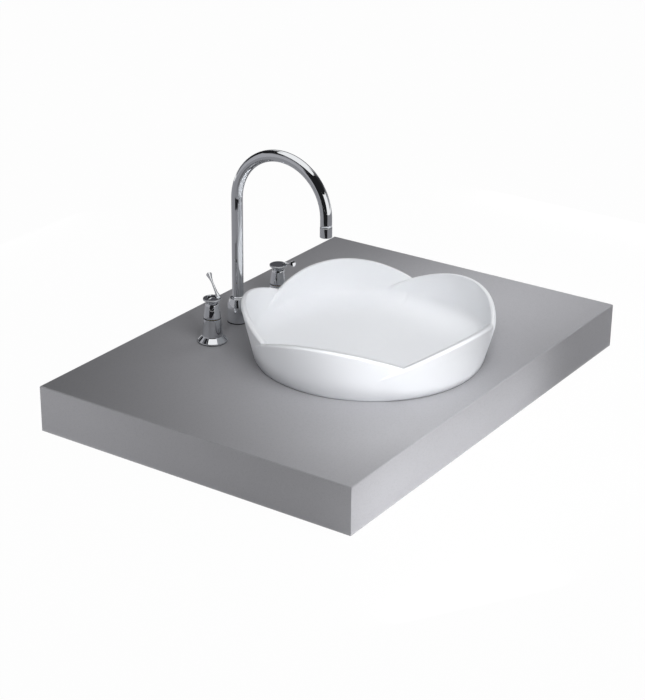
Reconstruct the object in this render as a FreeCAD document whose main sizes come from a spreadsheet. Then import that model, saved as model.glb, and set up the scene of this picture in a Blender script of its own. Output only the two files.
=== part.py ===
import FreeCAD, Part
import math
import os
import Sketcher

# A petal basin on a piece of counter, with its click waste and a three hole tap.
# Millimetres. The origin is the middle of the counter's underside. +X runs along the wall,
# +Y points to the wall, +Z is up, and the user stands on the -Y side.

PETALS = 5
PETAL_STEPS = 8
WASTE_SPOKES = 3

SIZES = {
    # Counter, built up from one kind of sheet with a deep edge all round
    "counter_length": 850,
    "counter_depth": 600,
    "counter_height": 80,
    "sheet_thick": 20,
    "edge_ease": 1.5,
    "tap_hole_radius": 17,
    "waste_hole_radius": 24,
    # Basin, five petals that overlap in a whorl
    "basin_x": -7.5,
    "basin_set_back": -59,
    "foot_radius": 193,
    "foot_width": 26,
    "wall_thick": 9.5,
    "wall_flare": 13.9,
    "petal_height": 89.5,
    "notch_height": 60.5,
    "petal_span": 72,
    "petal_overlap": 16,
    "first_petal": 47.8,
    "whorl_shift": 1.6,
    "whorl_lean": 2.5,
    "rim_chamfer": 2.8,
    "floor_thick": 18,
    "dish_height": 46,
    "knee_radius": 172,
    "knee_height": 30,
    "flat_radius": 138,
    "foot_recess": 5,
    "basin_bore_radius": 22.5,
    "waste_pad_radius": 42,
    "seal_width": 7,
    # Click waste
    "waste_flange_radius": 32,
    "waste_flange_thick": 3,
    "waste_thread_radius": 20.95,
    "waste_tube_bore": 17.5,
    "waste_tail": 4,
    "waste_tail_radius": 20,
    "waste_tail_length": 38,
    "waste_seal_thick": 1.5,
    "waste_grommet_thick": 4,
    "waste_washer_thick": 2,
    "waste_nut_thick": 10,
    "waste_nut_width": 60,
    "bridge_height": 5,
    "bridge_width": 5,
    "bridge_hub_radius": 8,
    "click_radius": 5.5,
    "click_length": 36,
    "click_collar_thick": 2,
    "stem_radius": 3,
    "plug_thick": 3,
    "plug_dome": 0.5,
    "plug_seal_thick": 1.2,
    "plug_seal_radius": 26,
    # Tap set, a swivel spout between two quarter turn valves
    "tap_x": -24,
    "valve_set_back": 183.5,
    "valve_reach": 96,
    "spout_set_back": 17.5,
    "gasket_thick": 1.5,
    "tap_thread_radius": 12,
    "tap_washer_radius": 22,
    "tap_washer_thick": 2,
    "tap_nut_width": 36,
    "tap_nut_thick": 10,
    # Spout
    "spout_tube_radius": 10,
    "spout_tube_wall": 1.5,
    "spout_bend_radius": 91.2,
    "spout_spring": 225,
    "nozzle_bottom": 194.5,
    "nozzle_length": 18,
    "nozzle_radius": 10.3,
    "spout_base_radius": 19,
    "spout_base_height": 45,
    "spout_base_shoulder": 22,
    "spout_base_neck": 13.5,
    "socket_wall": 2.4,
    "socket_floor": 6,
    "socket_height": 33,
    "bush_thick": 1.5,
    "bush_length": 12,
    "thrust_thick": 2,
    "ring_wire": 1.4,
    "ring_pitch": 4,
    "clip_thick": 1.2,
    "clip_depth": 0.7,
    "collar_radius": 11.8,
    "collar_height": 2.2,
    "tee_radius": 15,
    "tee_top": 44,
    "tee_bottom": 18,
    "tee_thread": 10,
    # Valves
    "escutcheon_radius": 25.5,
    "escutcheon_rim": 2,
    "escutcheon_cone_height": 8,
    "escutcheon_foot_radius": 17.6,
    "escutcheon_top_radius": 15.2,
    "escutcheon_height": 42.5,
    "escutcheon_wall": 2,
    "valve_collar_radius": 19,
    "valve_collar_thick": 3,
    "valve_top": 28,
    "valve_wall": 2.5,
    "valve_block_radius": 14,
    "valve_block_top": 40,
    "valve_block_bottom": 20,
    "inlet_radius": 10.48,
    "inlet_bottom": 4,
    "waterway_radius": 6,
    "cartridge_radius": 9,
    "cartridge_foot": 2,
    "gland_radius": 11,
    "gland_height": 5,
    "spindle_radius": 4,
    "spindle_foot": 12,
    "spindle_top": 62,
    # Lever and its bell
    "bell_gap": 1.5,
    "bell_radius": 14.6,
    "bell_side_curve": 300,
    "bell_dome_curve": 9.5,
    "bell_shoulder_radius": 11.8,
    "bell_shoulder_height": 64.3,
    "bell_neck_radius": 5.5,
    "bell_neck_height": 73,
    "bell_hollow_height": 8,
    "bell_hollow_radius": 11,
    "cap_radius": 15.5,
    "cap_thick": 3,
    "lever_height": 79,
    "lever_offset": 11,
    "lever_rise": 21,
    "lever_length": 59,
    "lever_root_radius": 2.6,
    "lever_waist_radius": 1.8,
    "lever_tip_radius": 5,
    "lever_flare": 24,
    "lever_boss_radius": 3.8,
    "lever_boss_length": 9,
    "lever_spigot_radius": 1.6,
    "lever_spigot_length": 5,
    "hot_lever_angle": 53.5,
    "cold_lever_angle": 231,
    "lever_screw_radius": 2,
    "lever_screw_height": 57,
    # Links from the valves to the spout
    "port_radius": 8,
    "port_reach": 27,
    "port_height": 30,
    "pipe_radius": 5,
    "pipe_wall": 1,
    "pipe_entry": 6,
    "pipe_nut_width": 20,
    "pipe_nut_length": 14,
    "pipe_nut_cover": 8,
    # Clearances
    "fit_gap": 0.05,
    "loose_gap": 0.3,
}


class Size:
    """A size with the sheet formula that drives it and its present value."""

    def __init__(self, formula, value):
        self.formula = formula
        self.value = value

    def __add__(self, other):
        other = as_size(other)
        return Size(f"({self.formula} + {other.formula})", self.value + other.value)

    def __radd__(self, other):
        return as_size(other) + self

    def __sub__(self, other):
        other = as_size(other)
        return Size(f"({self.formula} - {other.formula})", self.value - other.value)

    def __rsub__(self, other):
        return as_size(other) - self

    def __mul__(self, other):
        other = as_size(other)
        return Size(f"({self.formula} * {other.formula})", self.value * other.value)

    def __rmul__(self, other):
        return as_size(other) * self

    def __truediv__(self, other):
        other = as_size(other)
        return Size(f"({self.formula} / {other.formula})", self.value / other.value)

    def __neg__(self):
        return Size(f"(-1 * {self.formula})", -self.value)


def as_size(value):
    return value if isinstance(value, Size) else Size(f"({value})", float(value))


def tangent(angle):
    return Size(f"tan({angle.formula} * 1 deg)", math.tan(math.radians(angle.value)))


def sine(angle):
    return Size(f"sin({angle.formula} * 1 deg)", math.sin(math.radians(angle.value)))


def cosine(angle):
    return Size(f"cos({angle.formula} * 1 deg)", math.cos(math.radians(angle.value)))


def root(number):
    return Size(f"sqrt({number.formula})", math.sqrt(number.value))


doc = FreeCAD.newDocument("countertop_basin")
sheet = doc.addObject("Spreadsheet::Sheet", "size")
for row, (alias, value) in enumerate(SIZES.items(), start=1):
    sheet.set(f"A{row}", alias)
    sheet.set(f"B{row}", str(value))
    sheet.setAlias(f"B{row}", alias)
doc.recompute()


class Sheet:
    """The driving sizes by name, each as a Size tied to its cell."""

    def __getattr__(self, name):
        return Size(f"size.{name}", float(sheet.get(name)))


size = Sheet()
pieces = []


def bind(thing, path, amount):
    thing.setExpression(path, as_size(amount).formula)


def place(thing, x=0, y=0, z=0, turn=0, axis=(0, 0, 1)):
    """Put a thing at a point, turned about an axis through that point."""
    point = FreeCAD.Vector(as_size(x).value, as_size(y).value, as_size(z).value)
    rotation = FreeCAD.Rotation(FreeCAD.Vector(*axis), as_size(turn).value)
    thing.Placement = FreeCAD.Placement(point, rotation)
    bind(thing, "Placement.Base.x", x)
    bind(thing, "Placement.Base.y", y)
    bind(thing, "Placement.Base.z", z)
    if isinstance(turn, Size):
        bind(thing, "Placement.Rotation.Angle", turn)


def piece(thing, label):
    thing.Label = label
    pieces.append(thing)
    return thing


def arc_between(start, end, radius):
    """An arc from start to end, turning left for a positive radius, right for a negative one."""
    middle = (start + end) * 0.5
    chord = end - start
    side = FreeCAD.Vector(-chord.y, chord.x, 0).normalize()
    rise = math.sqrt(max(0, radius * radius - chord.Length * chord.Length / 4))
    centre = middle + side * math.copysign(rise, radius)
    circle = Part.Circle(centre, FreeCAD.Vector(0, 0, 1), abs(radius))
    first, last = (start, end) if radius > 0 else (end, start)
    angles = [math.atan2((p - centre).y, (p - centre).x) for p in (first, last)]
    return Part.ArcOfCircle(circle, angles[0], angles[1])


def draw(sketch, outline):
    """Draw a closed outline of (x, y) corners, or (x, y, radius) where an arc leaves the corner."""
    corners = [FreeCAD.Vector(as_size(c[0]).value, as_size(c[1]).value, 0) for c in outline]
    ends = []
    for i, corner in enumerate(outline):
        start, end = corners[i], corners[(i + 1) % len(corners)]
        if len(corner) == 3:
            radius = as_size(corner[2])
            geometry = sketch.addGeometry(arc_between(start, end, radius.value), False)
            ends.append((geometry, 1, 2) if radius.value > 0 else (geometry, 2, 1))
        else:
            geometry = sketch.addGeometry(Part.LineSegment(start, end), False)
            ends.append((geometry, 1, 2))
    for i, (geometry, first, last) in enumerate(ends):
        following = ends[(i + 1) % len(ends)]
        sketch.addConstraint(Sketcher.Constraint("Coincident", geometry, last, following[0], following[1]))
    for i, corner in enumerate(outline):
        geometry, first, last = ends[i]
        fix_point(sketch, geometry, first, corner[0], corner[1])
        if len(corner) == 3:
            radius = as_size(corner[2])
            radius = radius if radius.value > 0 else -radius
            fix(sketch, "Radius", (geometry,), radius)


def fix(sketch, kind, where, amount):
    """Add one dimension to a sketch and tie it to its formula."""
    amount = as_size(amount)
    index = sketch.addConstraint(Sketcher.Constraint(kind, *where, amount.value))
    bind(sketch, f"Constraints[{index}]", amount)


def fix_point(sketch, geometry, end, x, y):
    fix(sketch, "DistanceX", (-1, 1, geometry, end), x)
    fix(sketch, "DistanceY", (-1, 1, geometry, end), y)


def draw_circle(sketch, x, y, radius):
    centre = FreeCAD.Vector(as_size(x).value, as_size(y).value, 0)
    circle = Part.Circle(centre, FreeCAD.Vector(0, 0, 1), as_size(radius).value)
    geometry = sketch.addGeometry(circle, False)
    fix_point(sketch, geometry, 3, x, y)
    fix(sketch, "Radius", (geometry,), radius)


def sketch_on(body, role, name):
    sketch = body.newObject("Sketcher::SketchObject", name)
    plane = [f for f in body.Origin.OriginFeatures if f.Role == role][0]
    sketch.AttachmentSupport = [(plane, "")]
    sketch.MapMode = "FlatFace"
    return sketch


def turned(name, outline):
    """A body turned about its own Z axis from an outline of (radius, height) corners."""
    body = doc.addObject("PartDesign::Body", name)
    sketch = sketch_on(body, "XZ_Plane", name + "_section")
    draw(sketch, outline)
    turn = body.newObject("PartDesign::Revolution", name + "_turn")
    turn.Profile = sketch
    turn.ReferenceAxis = (sketch, ["V_Axis"])
    turn.Angle = 360
    return body


def petal_section(share):
    """One upright section of a petal, at a share of the way from its middle to its end."""
    angle = (size.petal_span / 2 + size.petal_overlap) * share
    flare = tangent(size.wall_flare)
    rim_radius = size.foot_radius + size.notch_height * flare
    half_chord = rim_radius * sine(size.petal_span / 2)
    rise = size.petal_height - size.notch_height
    arch = (half_chord * half_chord + rise * rise) / (2 * rise)
    across = rim_radius * sine(angle)
    crest = root(arch * arch - across * across) - arch + size.petal_height
    shoulder = crest - size.rim_chamfer
    foot = size.foot_radius - size.whorl_shift * sine(angle)
    lean = flare - tangent(size.whorl_lean) * sine(angle)
    top = foot + shoulder * lean
    crest_top = foot + crest * lean
    section = doc.addObject("Sketcher::SketchObject", "petal_section")
    upright = FreeCAD.Rotation(FreeCAD.Vector(1, 0, 0), 90)
    section.Placement.Rotation = FreeCAD.Rotation(FreeCAD.Vector(0, 0, 1), angle.value) * upright
    draw(section, [
        (foot - size.wall_thick, 0),
        (foot, 0),
        (top, shoulder),
        (crest_top - size.rim_chamfer, crest),
        (crest_top - size.wall_thick + size.rim_chamfer, crest),
        (top - size.wall_thick, shoulder),
    ])
    return section


def make_basin():
    """Five petals round a dished floor. Each petal ends outside the next one, clockwise from above."""
    petal = doc.addObject("Part::Loft", "petal")
    petal.Sections = [petal_section(2 * i / PETAL_STEPS - 1) for i in range(PETAL_STEPS + 1)]
    petal.Solid = True
    petals = []
    for k in range(PETALS):
        turned_petal = doc.addObject("App::Link", f"petal_{k}")
        turned_petal.LinkedObject = petal
        turned_petal.LinkTransform = False
        place(turned_petal, turn=size.first_petal + size.petal_span * k)
        petals.append(turned_petal)
    floor = make_floor()
    basin = doc.addObject("Part::MultiFuse", "basin_body")
    basin.Shapes = petals + [floor]
    at_basin(basin, 0, "basin")
    foot_inside = size.foot_radius - size.foot_width
    bead = ring("foot_bead", foot_inside - size.seal_width, foot_inside - size.fit_gap, size.foot_recess)
    at_basin(bead, 0, "basin_seal")


def waste_seat():
    """The height of the flange's seat, so deep that the shut plug is level with the floor."""
    stack = size.waste_seal_thick + size.waste_flange_thick + size.plug_seal_thick + size.plug_thick
    return size.floor_thick - stack


def make_floor():
    """The dished floor with its foot ring, waste pad, flange seat and the bore for the waste."""
    bury = size.wall_thick / 3
    tuck = size.foot_radius - size.wall_thick + size.dish_height * tangent(size.wall_flare) + bury
    seat = waste_seat()
    seat_radius = size.waste_flange_radius + size.loose_gap
    return turned("basin_floor", [
        (size.basin_bore_radius, 0),
        (size.waste_pad_radius, 0),
        (size.waste_pad_radius, size.foot_recess),
        (size.foot_radius - size.foot_width, size.foot_recess),
        (size.foot_radius - size.foot_width, 0),
        (size.foot_radius - size.wall_thick / 2, 0),
        (tuck, size.dish_height),
        (size.knee_radius, size.knee_height),
        (size.flat_radius, size.floor_thick + size.waste_seal_thick),
        (seat_radius, size.floor_thick),
        (seat_radius, seat),
        (size.basin_bore_radius, seat),
    ])


def ring(name, inner, outer, height):
    """A plain ring, such as a washer or gasket."""
    return turned(name, [(inner, 0), (outer, 0), (outer, height), (inner, height)])


def hexagon(name, bore, width, height):
    """A hexagon nut with its bore, given the width across its flats."""
    blank = doc.addObject("Part::Prism", name + "_blank")
    blank.Polygon = 6
    bind(blank, "Circumradius", width / root(as_size(3)))
    bind(blank, "Height", height)
    hole = doc.addObject("Part::Cylinder", name + "_hole")
    bind(hole, "Radius", bore)
    bind(hole, "Height", height)
    nut = doc.addObject("Part::Cut", name)
    nut.Base = blank
    nut.Tool = hole
    return nut


def padded(name, outline, height, circles=()):
    """A flat sheet or bar with its outline and round holes in plan."""
    body = doc.addObject("PartDesign::Body", name)
    sketch = sketch_on(body, "XY_Plane", name + "_plan")
    draw(sketch, outline)
    for x, y, radius in circles:
        draw_circle(sketch, x, y, radius)
    pad = body.newObject("PartDesign::Pad", name + "_pad")
    pad.Profile = sketch
    bind(pad, "Length", height)
    return body


def basin_y():
    """The basin's axis in plan, set back from the counter's middle."""
    return size.basin_set_back


def make_counter():
    """The top sheet with its four holes, and a mitred apron under each edge."""
    half_length = size.counter_length / 2
    half_depth = size.counter_depth / 2
    apron_height = size.counter_height - size.sheet_thick
    holes = [(size.basin_x, basin_y(), size.waste_hole_radius)]
    holes += [(x, y, size.tap_hole_radius) for x, y in tap_points()]
    corners = [(-half_length, -half_depth), (half_length, -half_depth),
               (half_length, half_depth), (-half_length, half_depth)]
    top = padded("counter_sheet", corners, size.sheet_thick, holes)
    doc.recompute()
    sheet_pad = top.Tip
    arris = [f"Edge{i}" for i, edge in enumerate(sheet_pad.Shape.Edges, start=1)
             if isinstance(edge.Curve, Part.Line) and edge.BoundBox.ZMin > size.sheet_thick.value / 2]
    ease = top.newObject("PartDesign::Chamfer", "counter_arris")
    ease.Base = (sheet_pad, arris)
    bind(ease, "Size", size.edge_ease)
    place(top, z=apron_height)
    piece(top, "counter_top")
    for name, run, reach, turn in (
        ("front_apron", half_length, half_depth, 0),
        ("right_apron", half_depth, half_length, 90),
        ("back_apron", half_length, half_depth, 180),
        ("left_apron", half_depth, half_length, 270),
    ):
        inset = size.sheet_thick
        apron = padded(name + "_bar", [
            (-run, -reach),
            (run, -reach),
            (run - inset, -reach + inset),
            (-run + inset, -reach + inset),
        ], apron_height)
        place(apron, turn=as_size(turn))
        piece(apron, name)


def tap_points():
    """The hot valve, the cold valve and the spout in plan."""
    valve_y = size.valve_set_back
    return [(size.tap_x - size.valve_reach, valve_y),
            (size.tap_x + size.valve_reach, valve_y),
            (size.tap_x, valve_y + size.spout_set_back)]


def at_basin(thing, height, label):
    """Place a piece on the basin's axis, at a height above the counter."""
    place(thing, size.basin_x, basin_y(), size.counter_height + height)
    return piece(thing, label)


def make_waste():
    """The click waste, clamped through the basin and the counter, with its plug shut."""
    seat = waste_seat()
    thread = size.waste_thread_radius
    bore = size.waste_tube_bore
    flange_base = seat + size.waste_seal_thick
    tail = size.waste_tail - size.counter_height
    flange_top = flange_base + size.waste_flange_thick
    length = flange_top - tail

    tube = turned("waste_tube", [
        (bore, 0),
        (size.waste_tail_radius, 0),
        (size.waste_tail_radius, size.waste_tail_length),
        (thread, size.waste_tail_length),
        (thread, length - size.waste_flange_thick),
        (size.waste_flange_radius, length - size.waste_flange_thick),
        (size.waste_flange_radius, length - size.waste_flange_thick / 2),
        (size.waste_flange_radius - size.waste_flange_thick, length),
        (bore + size.waste_flange_thick, length),
        (bore, length - size.waste_flange_thick),
    ])
    bridge_z = -tail
    hub = ring("waste_hub", size.click_radius + size.fit_gap, size.bridge_hub_radius, size.bridge_height)
    place(hub, z=bridge_z)
    spokes = []
    for k in range(WASTE_SPOKES):
        spoke = doc.addObject("Part::Box", f"waste_spoke_{k}")
        inner = (size.click_radius + size.bridge_hub_radius) / 2
        bind(spoke, "Length", (bore + thread) / 2 - inner)
        bind(spoke, "Width", size.bridge_width)
        bind(spoke, "Height", size.bridge_height)
        turn = as_size(360 / WASTE_SPOKES * k)
        half = size.bridge_width / 2
        place(spoke, inner * cosine(turn) + half * sine(turn),
              inner * sine(turn) - half * cosine(turn), bridge_z, turn=turn)
        spokes.append(spoke)
    body = doc.addObject("Part::MultiFuse", "waste_casting")
    body.Shapes = [tube, hub] + spokes
    at_basin(body, tail, "waste_body")

    at_basin(ring("flange_seal", thread + size.fit_gap, size.waste_flange_radius - size.waste_flange_thick,
                  size.waste_seal_thick), seat, "waste_flange_seal")
    under = -size.sheet_thick - size.waste_grommet_thick
    grommet_radius = size.waste_flange_radius
    at_basin(ring("grommet", thread + size.fit_gap, grommet_radius, size.waste_grommet_thick),
             under, "waste_grommet")
    under = under - size.waste_washer_thick
    at_basin(ring("washer", thread + size.fit_gap, grommet_radius, size.waste_washer_thick),
             under, "waste_washer")
    under = under - size.waste_nut_thick
    at_basin(hexagon("waste_hexagon", thread + size.fit_gap, size.waste_nut_width, size.waste_nut_thick),
             under, "waste_nut")

    click_foot = size.bridge_height + size.click_collar_thick - size.click_length
    click_bore = size.stem_radius + size.fit_gap
    below = size.click_length - size.click_collar_thick
    at_basin(turned("click_barrel", [
        (0, 0),
        (size.click_radius, 0),
        (size.click_radius, below),
        (size.bridge_hub_radius, below),
        (size.bridge_hub_radius, size.click_length),
        (click_bore, size.click_length),
        (click_bore, size.click_collar_thick),
        (0, size.click_collar_thick),
    ]), click_foot, "click_cartridge")

    cap_base = flange_top + size.plug_seal_thick
    stem_foot = click_foot + size.click_collar_thick + size.loose_gap
    stem_top = cap_base + size.plug_thick - size.fit_gap
    at_basin(turned("stem_rod", [
        (0, 0),
        (size.stem_radius, 0),
        (size.stem_radius, stem_top - stem_foot),
        (0, stem_top - stem_foot),
    ]), stem_foot, "plug_stem")
    socket = size.stem_radius + size.fit_gap
    edge = size.plug_thick / 2
    dome = size.plug_dome
    dome_radius = (size.waste_flange_radius * size.waste_flange_radius + dome * dome) / (2 * dome)
    at_basin(turned("cap_dome", [
        (socket, 0),
        (size.waste_flange_radius - edge, 0),
        (size.waste_flange_radius, edge),
        (size.waste_flange_radius, size.plug_thick, dome_radius),
        (0, size.plug_thick + dome),
        (0, size.plug_thick),
        (socket, size.plug_thick),
    ]), cap_base, "plug_cap")
    at_basin(ring("plug_ring", size.waste_tube_bore + size.waste_flange_thick, size.plug_seal_radius,
                  size.plug_seal_thick), cap_base - size.plug_seal_thick, "plug_seal")


def at_spout(thing, height, label, turn=0):
    """Place a piece on the spout's axis, at a height above the counter."""
    x, y = tap_points()[2]
    place(thing, x, y, size.counter_height + height, turn)
    return piece(thing, label)


def make_spout():
    """The gooseneck, the socket it swivels in, and what clamps it to the counter."""
    tube = size.spout_tube_radius
    inner = tube - size.spout_tube_wall
    socket_bore = tube + size.fit_gap + size.bush_thick + size.fit_gap
    socket_radius = socket_bore + size.socket_wall
    thread = size.tap_thread_radius
    gasket = size.gasket_thick
    thrust_z = size.socket_floor
    tube_foot = thrust_z + size.thrust_thick
    collar_z = size.spout_base_height + size.loose_gap
    shank_foot = size.tee_top - size.counter_height - size.tee_thread
    lip_z = size.socket_height + 2 * size.clip_thick

    at_spout(ring("spout_gasket_ring", thread + size.fit_gap, size.spout_base_radius, gasket),
             0, "spout_gasket")
    shoulder = size.spout_base_shoulder
    rise = size.spout_base_height - shoulder
    inset = size.spout_base_radius - size.spout_base_neck
    bell = (rise * rise + inset * inset) / (2 * inset)
    at_spout(turned("spout_pillar", [
        (socket_radius + size.fit_gap, 0),
        (size.spout_base_radius, 0),
        (size.spout_base_radius, shoulder - gasket, bell),
        (size.spout_base_neck, size.spout_base_height - gasket),
        (tube + size.loose_gap, size.spout_base_height - gasket),
        (tube + size.loose_gap, lip_z - gasket),
        (socket_radius + size.fit_gap, lip_z - gasket),
    ]), gasket, "spout_base")
    up = gasket - shank_foot
    at_spout(turned("spout_stalk", [
        (size.waterway_radius, 0),
        (thread, 0),
        (thread, up),
        (socket_radius, up),
        (socket_radius, size.socket_height - shank_foot),
        (socket_bore, size.socket_height - shank_foot),
        (socket_bore, size.socket_floor - shank_foot),
        (size.waterway_radius, size.socket_floor - shank_foot),
    ]), shank_foot, "spout_shank")
    at_spout(ring("thrust_ring", inner, socket_bore - size.fit_gap, size.thrust_thick),
             thrust_z, "spout_thrust_washer")

    for k, name in enumerate(("lower_oring", "upper_oring")):
        section = size.ring_wire / 2
        middle = (tube + socket_bore) / 2
        corner = section / 2
        at_spout(turned(name + "_loop", [
            (middle - corner, 0),
            (middle + corner, 0),
            (middle + section, section - corner),
            (middle + section, section + corner),
            (middle + corner, 2 * section),
            (middle - corner, 2 * section),
            (middle - section, section + corner),
            (middle - section, section - corner),
        ]), tube_foot + size.ring_pitch * (k + 0.5), "spout_" + name)
    bush_z = size.socket_height - size.bush_length
    at_spout(ring("bush_sleeve", tube + size.fit_gap, socket_bore - size.fit_gap, size.bush_length),
             bush_z, "spout_bush")

    make_gooseneck(tube, inner, tube_foot)
    clip_z = size.socket_height + size.loose_gap
    groove = tube - size.clip_depth
    at_spout(ring("clip_ring", groove + size.fit_gap, socket_bore - size.fit_gap, size.clip_thick),
             clip_z, "spout_clip")
    at_spout(turned("collar_ring", [
        (tube, 0),
        (size.collar_radius, 0),
        (size.collar_radius, size.collar_height / 2),
        (tube + size.loose_gap, size.collar_height),
        (tube, size.collar_height),
    ]), collar_z, "spout_collar")

    outlet_y = -2 * size.spout_bend_radius
    x, y = tap_points()[2]
    nozzle_z = size.counter_height + size.nozzle_bottom
    cup = size.nozzle_radius - size.spout_tube_wall / 2
    lip = size.spout_tube_wall
    core = size.nozzle_length - 3 * lip
    nozzle = turned("nozzle_shell", [
        (cup - lip, 0),
        (size.nozzle_radius - lip / 2, 0),
        (size.nozzle_radius, lip / 2),
        (size.nozzle_radius, size.nozzle_length - lip / 2),
        (size.nozzle_radius - lip / 2, size.nozzle_length),
        (inner, size.nozzle_length),
        (inner, size.nozzle_length - lip),
        (cup, size.nozzle_length - lip),
        (cup, lip),
        (cup - lip, lip),
    ])
    place(nozzle, x, y + outlet_y, nozzle_z)
    piece(nozzle, "spout_nozzle")
    insert = turned("aerator_core", [
        (0, 0),
        (cup - size.fit_gap, 0),
        (cup - size.fit_gap, core),
        (cup - 2 * lip, core),
        (cup - 3 * lip, core - 2 * lip),
        (0, core - 2 * lip),
    ])
    place(insert, x, y + outlet_y, nozzle_z + lip)
    piece(insert, "aerator_insert")
    washer = ring("aerator_ring", inner - lip, cup - size.fit_gap, lip)
    place(washer, x, y + outlet_y, nozzle_z + lip + core)
    piece(washer, "aerator_seal")

    clamp("spout", *tap_points()[2])


def make_gooseneck(tube, inner, tube_foot):
    """The bent tube: up, over in a half circle towards the bowl, and down to the nozzle."""
    top = size.spout_spring - tube_foot
    down = size.nozzle_bottom + size.nozzle_length - tube_foot
    body = doc.addObject("PartDesign::Body", "gooseneck")
    path = sketch_on(body, "YZ_Plane", "gooseneck_path")
    across = -2 * size.spout_bend_radius
    start = FreeCAD.Vector(0, 0, 0)
    bend_start = FreeCAD.Vector(0, top.value, 0)
    bend_end = FreeCAD.Vector(across.value, top.value, 0)
    end = FreeCAD.Vector(across.value, down.value, 0)
    riser = path.addGeometry(Part.LineSegment(start, bend_start), False)
    bend = path.addGeometry(arc_between(bend_start, bend_end, size.spout_bend_radius.value), False)
    drop = path.addGeometry(Part.LineSegment(bend_end, end), False)
    path.addConstraint(Sketcher.Constraint("Coincident", riser, 2, bend, 1))
    path.addConstraint(Sketcher.Constraint("Coincident", bend, 2, drop, 1))
    fix_point(path, riser, 1, 0, 0)
    fix_point(path, riser, 2, 0, top)
    fix_point(path, bend, 2, across, top)
    fix(path, "DistanceY", (-1, 1, bend, 3), top)
    fix_point(path, drop, 2, across, down)
    profile = sketch_on(body, "XY_Plane", "gooseneck_profile")
    draw_circle(profile, 0, 0, tube)
    draw_circle(profile, 0, 0, inner)
    doc.recompute()
    pipe = body.newObject("PartDesign::AdditivePipe", "gooseneck_pipe")
    pipe.Profile = profile
    pipe.Spine = (path, ["Edge1", "Edge2", "Edge3"])
    doc.recompute()
    slot = sketch_on(body, "XZ_Plane", "gooseneck_slot")
    clip_z = size.socket_height + size.loose_gap - tube_foot
    floor = tube - size.clip_depth
    draw(slot, [
        (floor, clip_z - size.fit_gap),
        (tube + size.clip_depth, clip_z - size.fit_gap),
        (tube + size.clip_depth, clip_z + size.clip_thick + size.fit_gap),
        (floor, clip_z + size.clip_thick + size.fit_gap),
    ])
    groove = body.newObject("PartDesign::Groove", "gooseneck_groove")
    groove.Profile = slot
    groove.ReferenceAxis = (slot, ["V_Axis"])
    groove.Angle = 360
    at_spout(body, tube_foot, "spout_tube")


def clamp(prefix, x, y):
    """The washer and nut that draw a tap's threaded shank down onto the counter."""
    thread = size.tap_thread_radius + size.fit_gap
    under = size.counter_height - size.sheet_thick - size.tap_washer_thick
    washer = ring(prefix + "_clamp_ring", thread, size.tap_washer_radius, size.tap_washer_thick)
    place(washer, x, y, under)
    piece(washer, prefix + "_washer")
    nut = hexagon(prefix + "_clamp_nut", thread, size.tap_nut_width, size.tap_nut_thick)
    place(nut, x, y, under - size.tap_nut_thick)
    piece(nut, prefix + "_nut")


def link_angle():
    """How far the line from the hot valve to the spout turns away from the wall line."""
    ratio = size.spout_set_back / size.valve_reach
    return Size(f"(atan({ratio.formula}) / (1 deg))", math.degrees(math.atan(ratio.value)))


def link_span():
    """The distance between a valve's axis and the spout's."""
    return root(size.valve_reach * size.valve_reach + size.spout_set_back * size.spout_set_back)


def lay(thing, x, y, z, heading, rise, forward, sideways=0):
    """Lay a thing's Z axis along a heading, raised by an angle, forward and left of a point."""
    heading = as_size(heading)
    rise = as_size(rise)
    tip = FreeCAD.Rotation(FreeCAD.Vector(0, 1, 0), 90 - rise.value)
    yaw = FreeCAD.Rotation(FreeCAD.Vector(0, 0, 1), heading.value)
    thing.Placement.Rotation = yaw * tip
    level = forward * cosine(rise)
    bind(thing, "Placement.Base.x", x + level * cosine(heading) - sideways * sine(heading))
    bind(thing, "Placement.Base.y", y + level * sine(heading) + sideways * cosine(heading))
    bind(thing, "Placement.Base.z", z + forward * sine(rise))


def make_port(name, heading):
    """A level port out of a fitting's axis, with the seat for a pipe's end."""
    seat = size.port_reach - size.pipe_entry
    bore = size.pipe_radius + size.fit_gap
    boss = turned(name + "_boss", [
        (0, 0),
        (size.port_radius, 0),
        (size.port_radius, size.port_reach),
        (bore, size.port_reach),
        (bore, seat),
        (0, seat),
    ])
    lay(boss, as_size(0), as_size(0), size.port_height, heading, 0, as_size(0))
    drill = doc.addObject("Part::Cylinder", name + "_drill")
    bind(drill, "Radius", size.pipe_radius - size.pipe_wall)
    bind(drill, "Height", size.port_reach)
    lay(drill, as_size(0), as_size(0), size.port_height, heading, 0, as_size(0))
    return boss, drill


def rod(name, radius, bottom, top):
    """An upright cylinder between two heights."""
    cylinder = doc.addObject("Part::Cylinder", name)
    bind(cylinder, "Radius", radius)
    bind(cylinder, "Height", top - bottom)
    place(cylinder, z=bottom)
    return cylinder


def drilled(name, solids, drills):
    """Solids joined into one casting, then drilled."""
    joined = doc.addObject("Part::MultiFuse", name + "_joined")
    joined.Shapes = solids
    tools = doc.addObject("Part::MultiFuse", name + "_drills")
    tools.Shapes = drills
    casting = doc.addObject("Part::Cut", name)
    casting.Base = joined
    casting.Tool = tools
    return casting


def make_tee():
    """The tee on the spout's shank, with a port towards each valve."""
    thread_z = size.tee_top - size.tee_thread
    thread = size.tap_thread_radius + size.fit_gap
    block = rod("tee_block", size.tee_radius, size.tee_bottom, size.tee_top)
    socket = rod("tee_socket", thread, thread_z, size.tee_top)
    way = rod("tee_waterway", size.waterway_radius, size.port_height, thread_z)
    hot_boss, hot_drill = make_port("tee_hot", 180 + link_angle())
    cold_boss, cold_drill = make_port("tee_cold", -link_angle())
    tee = drilled("tee_casting", [block, hot_boss, cold_boss], [socket, way, hot_drill, cold_drill])
    at_spout(tee, -size.counter_height, "spout_tee")


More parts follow.
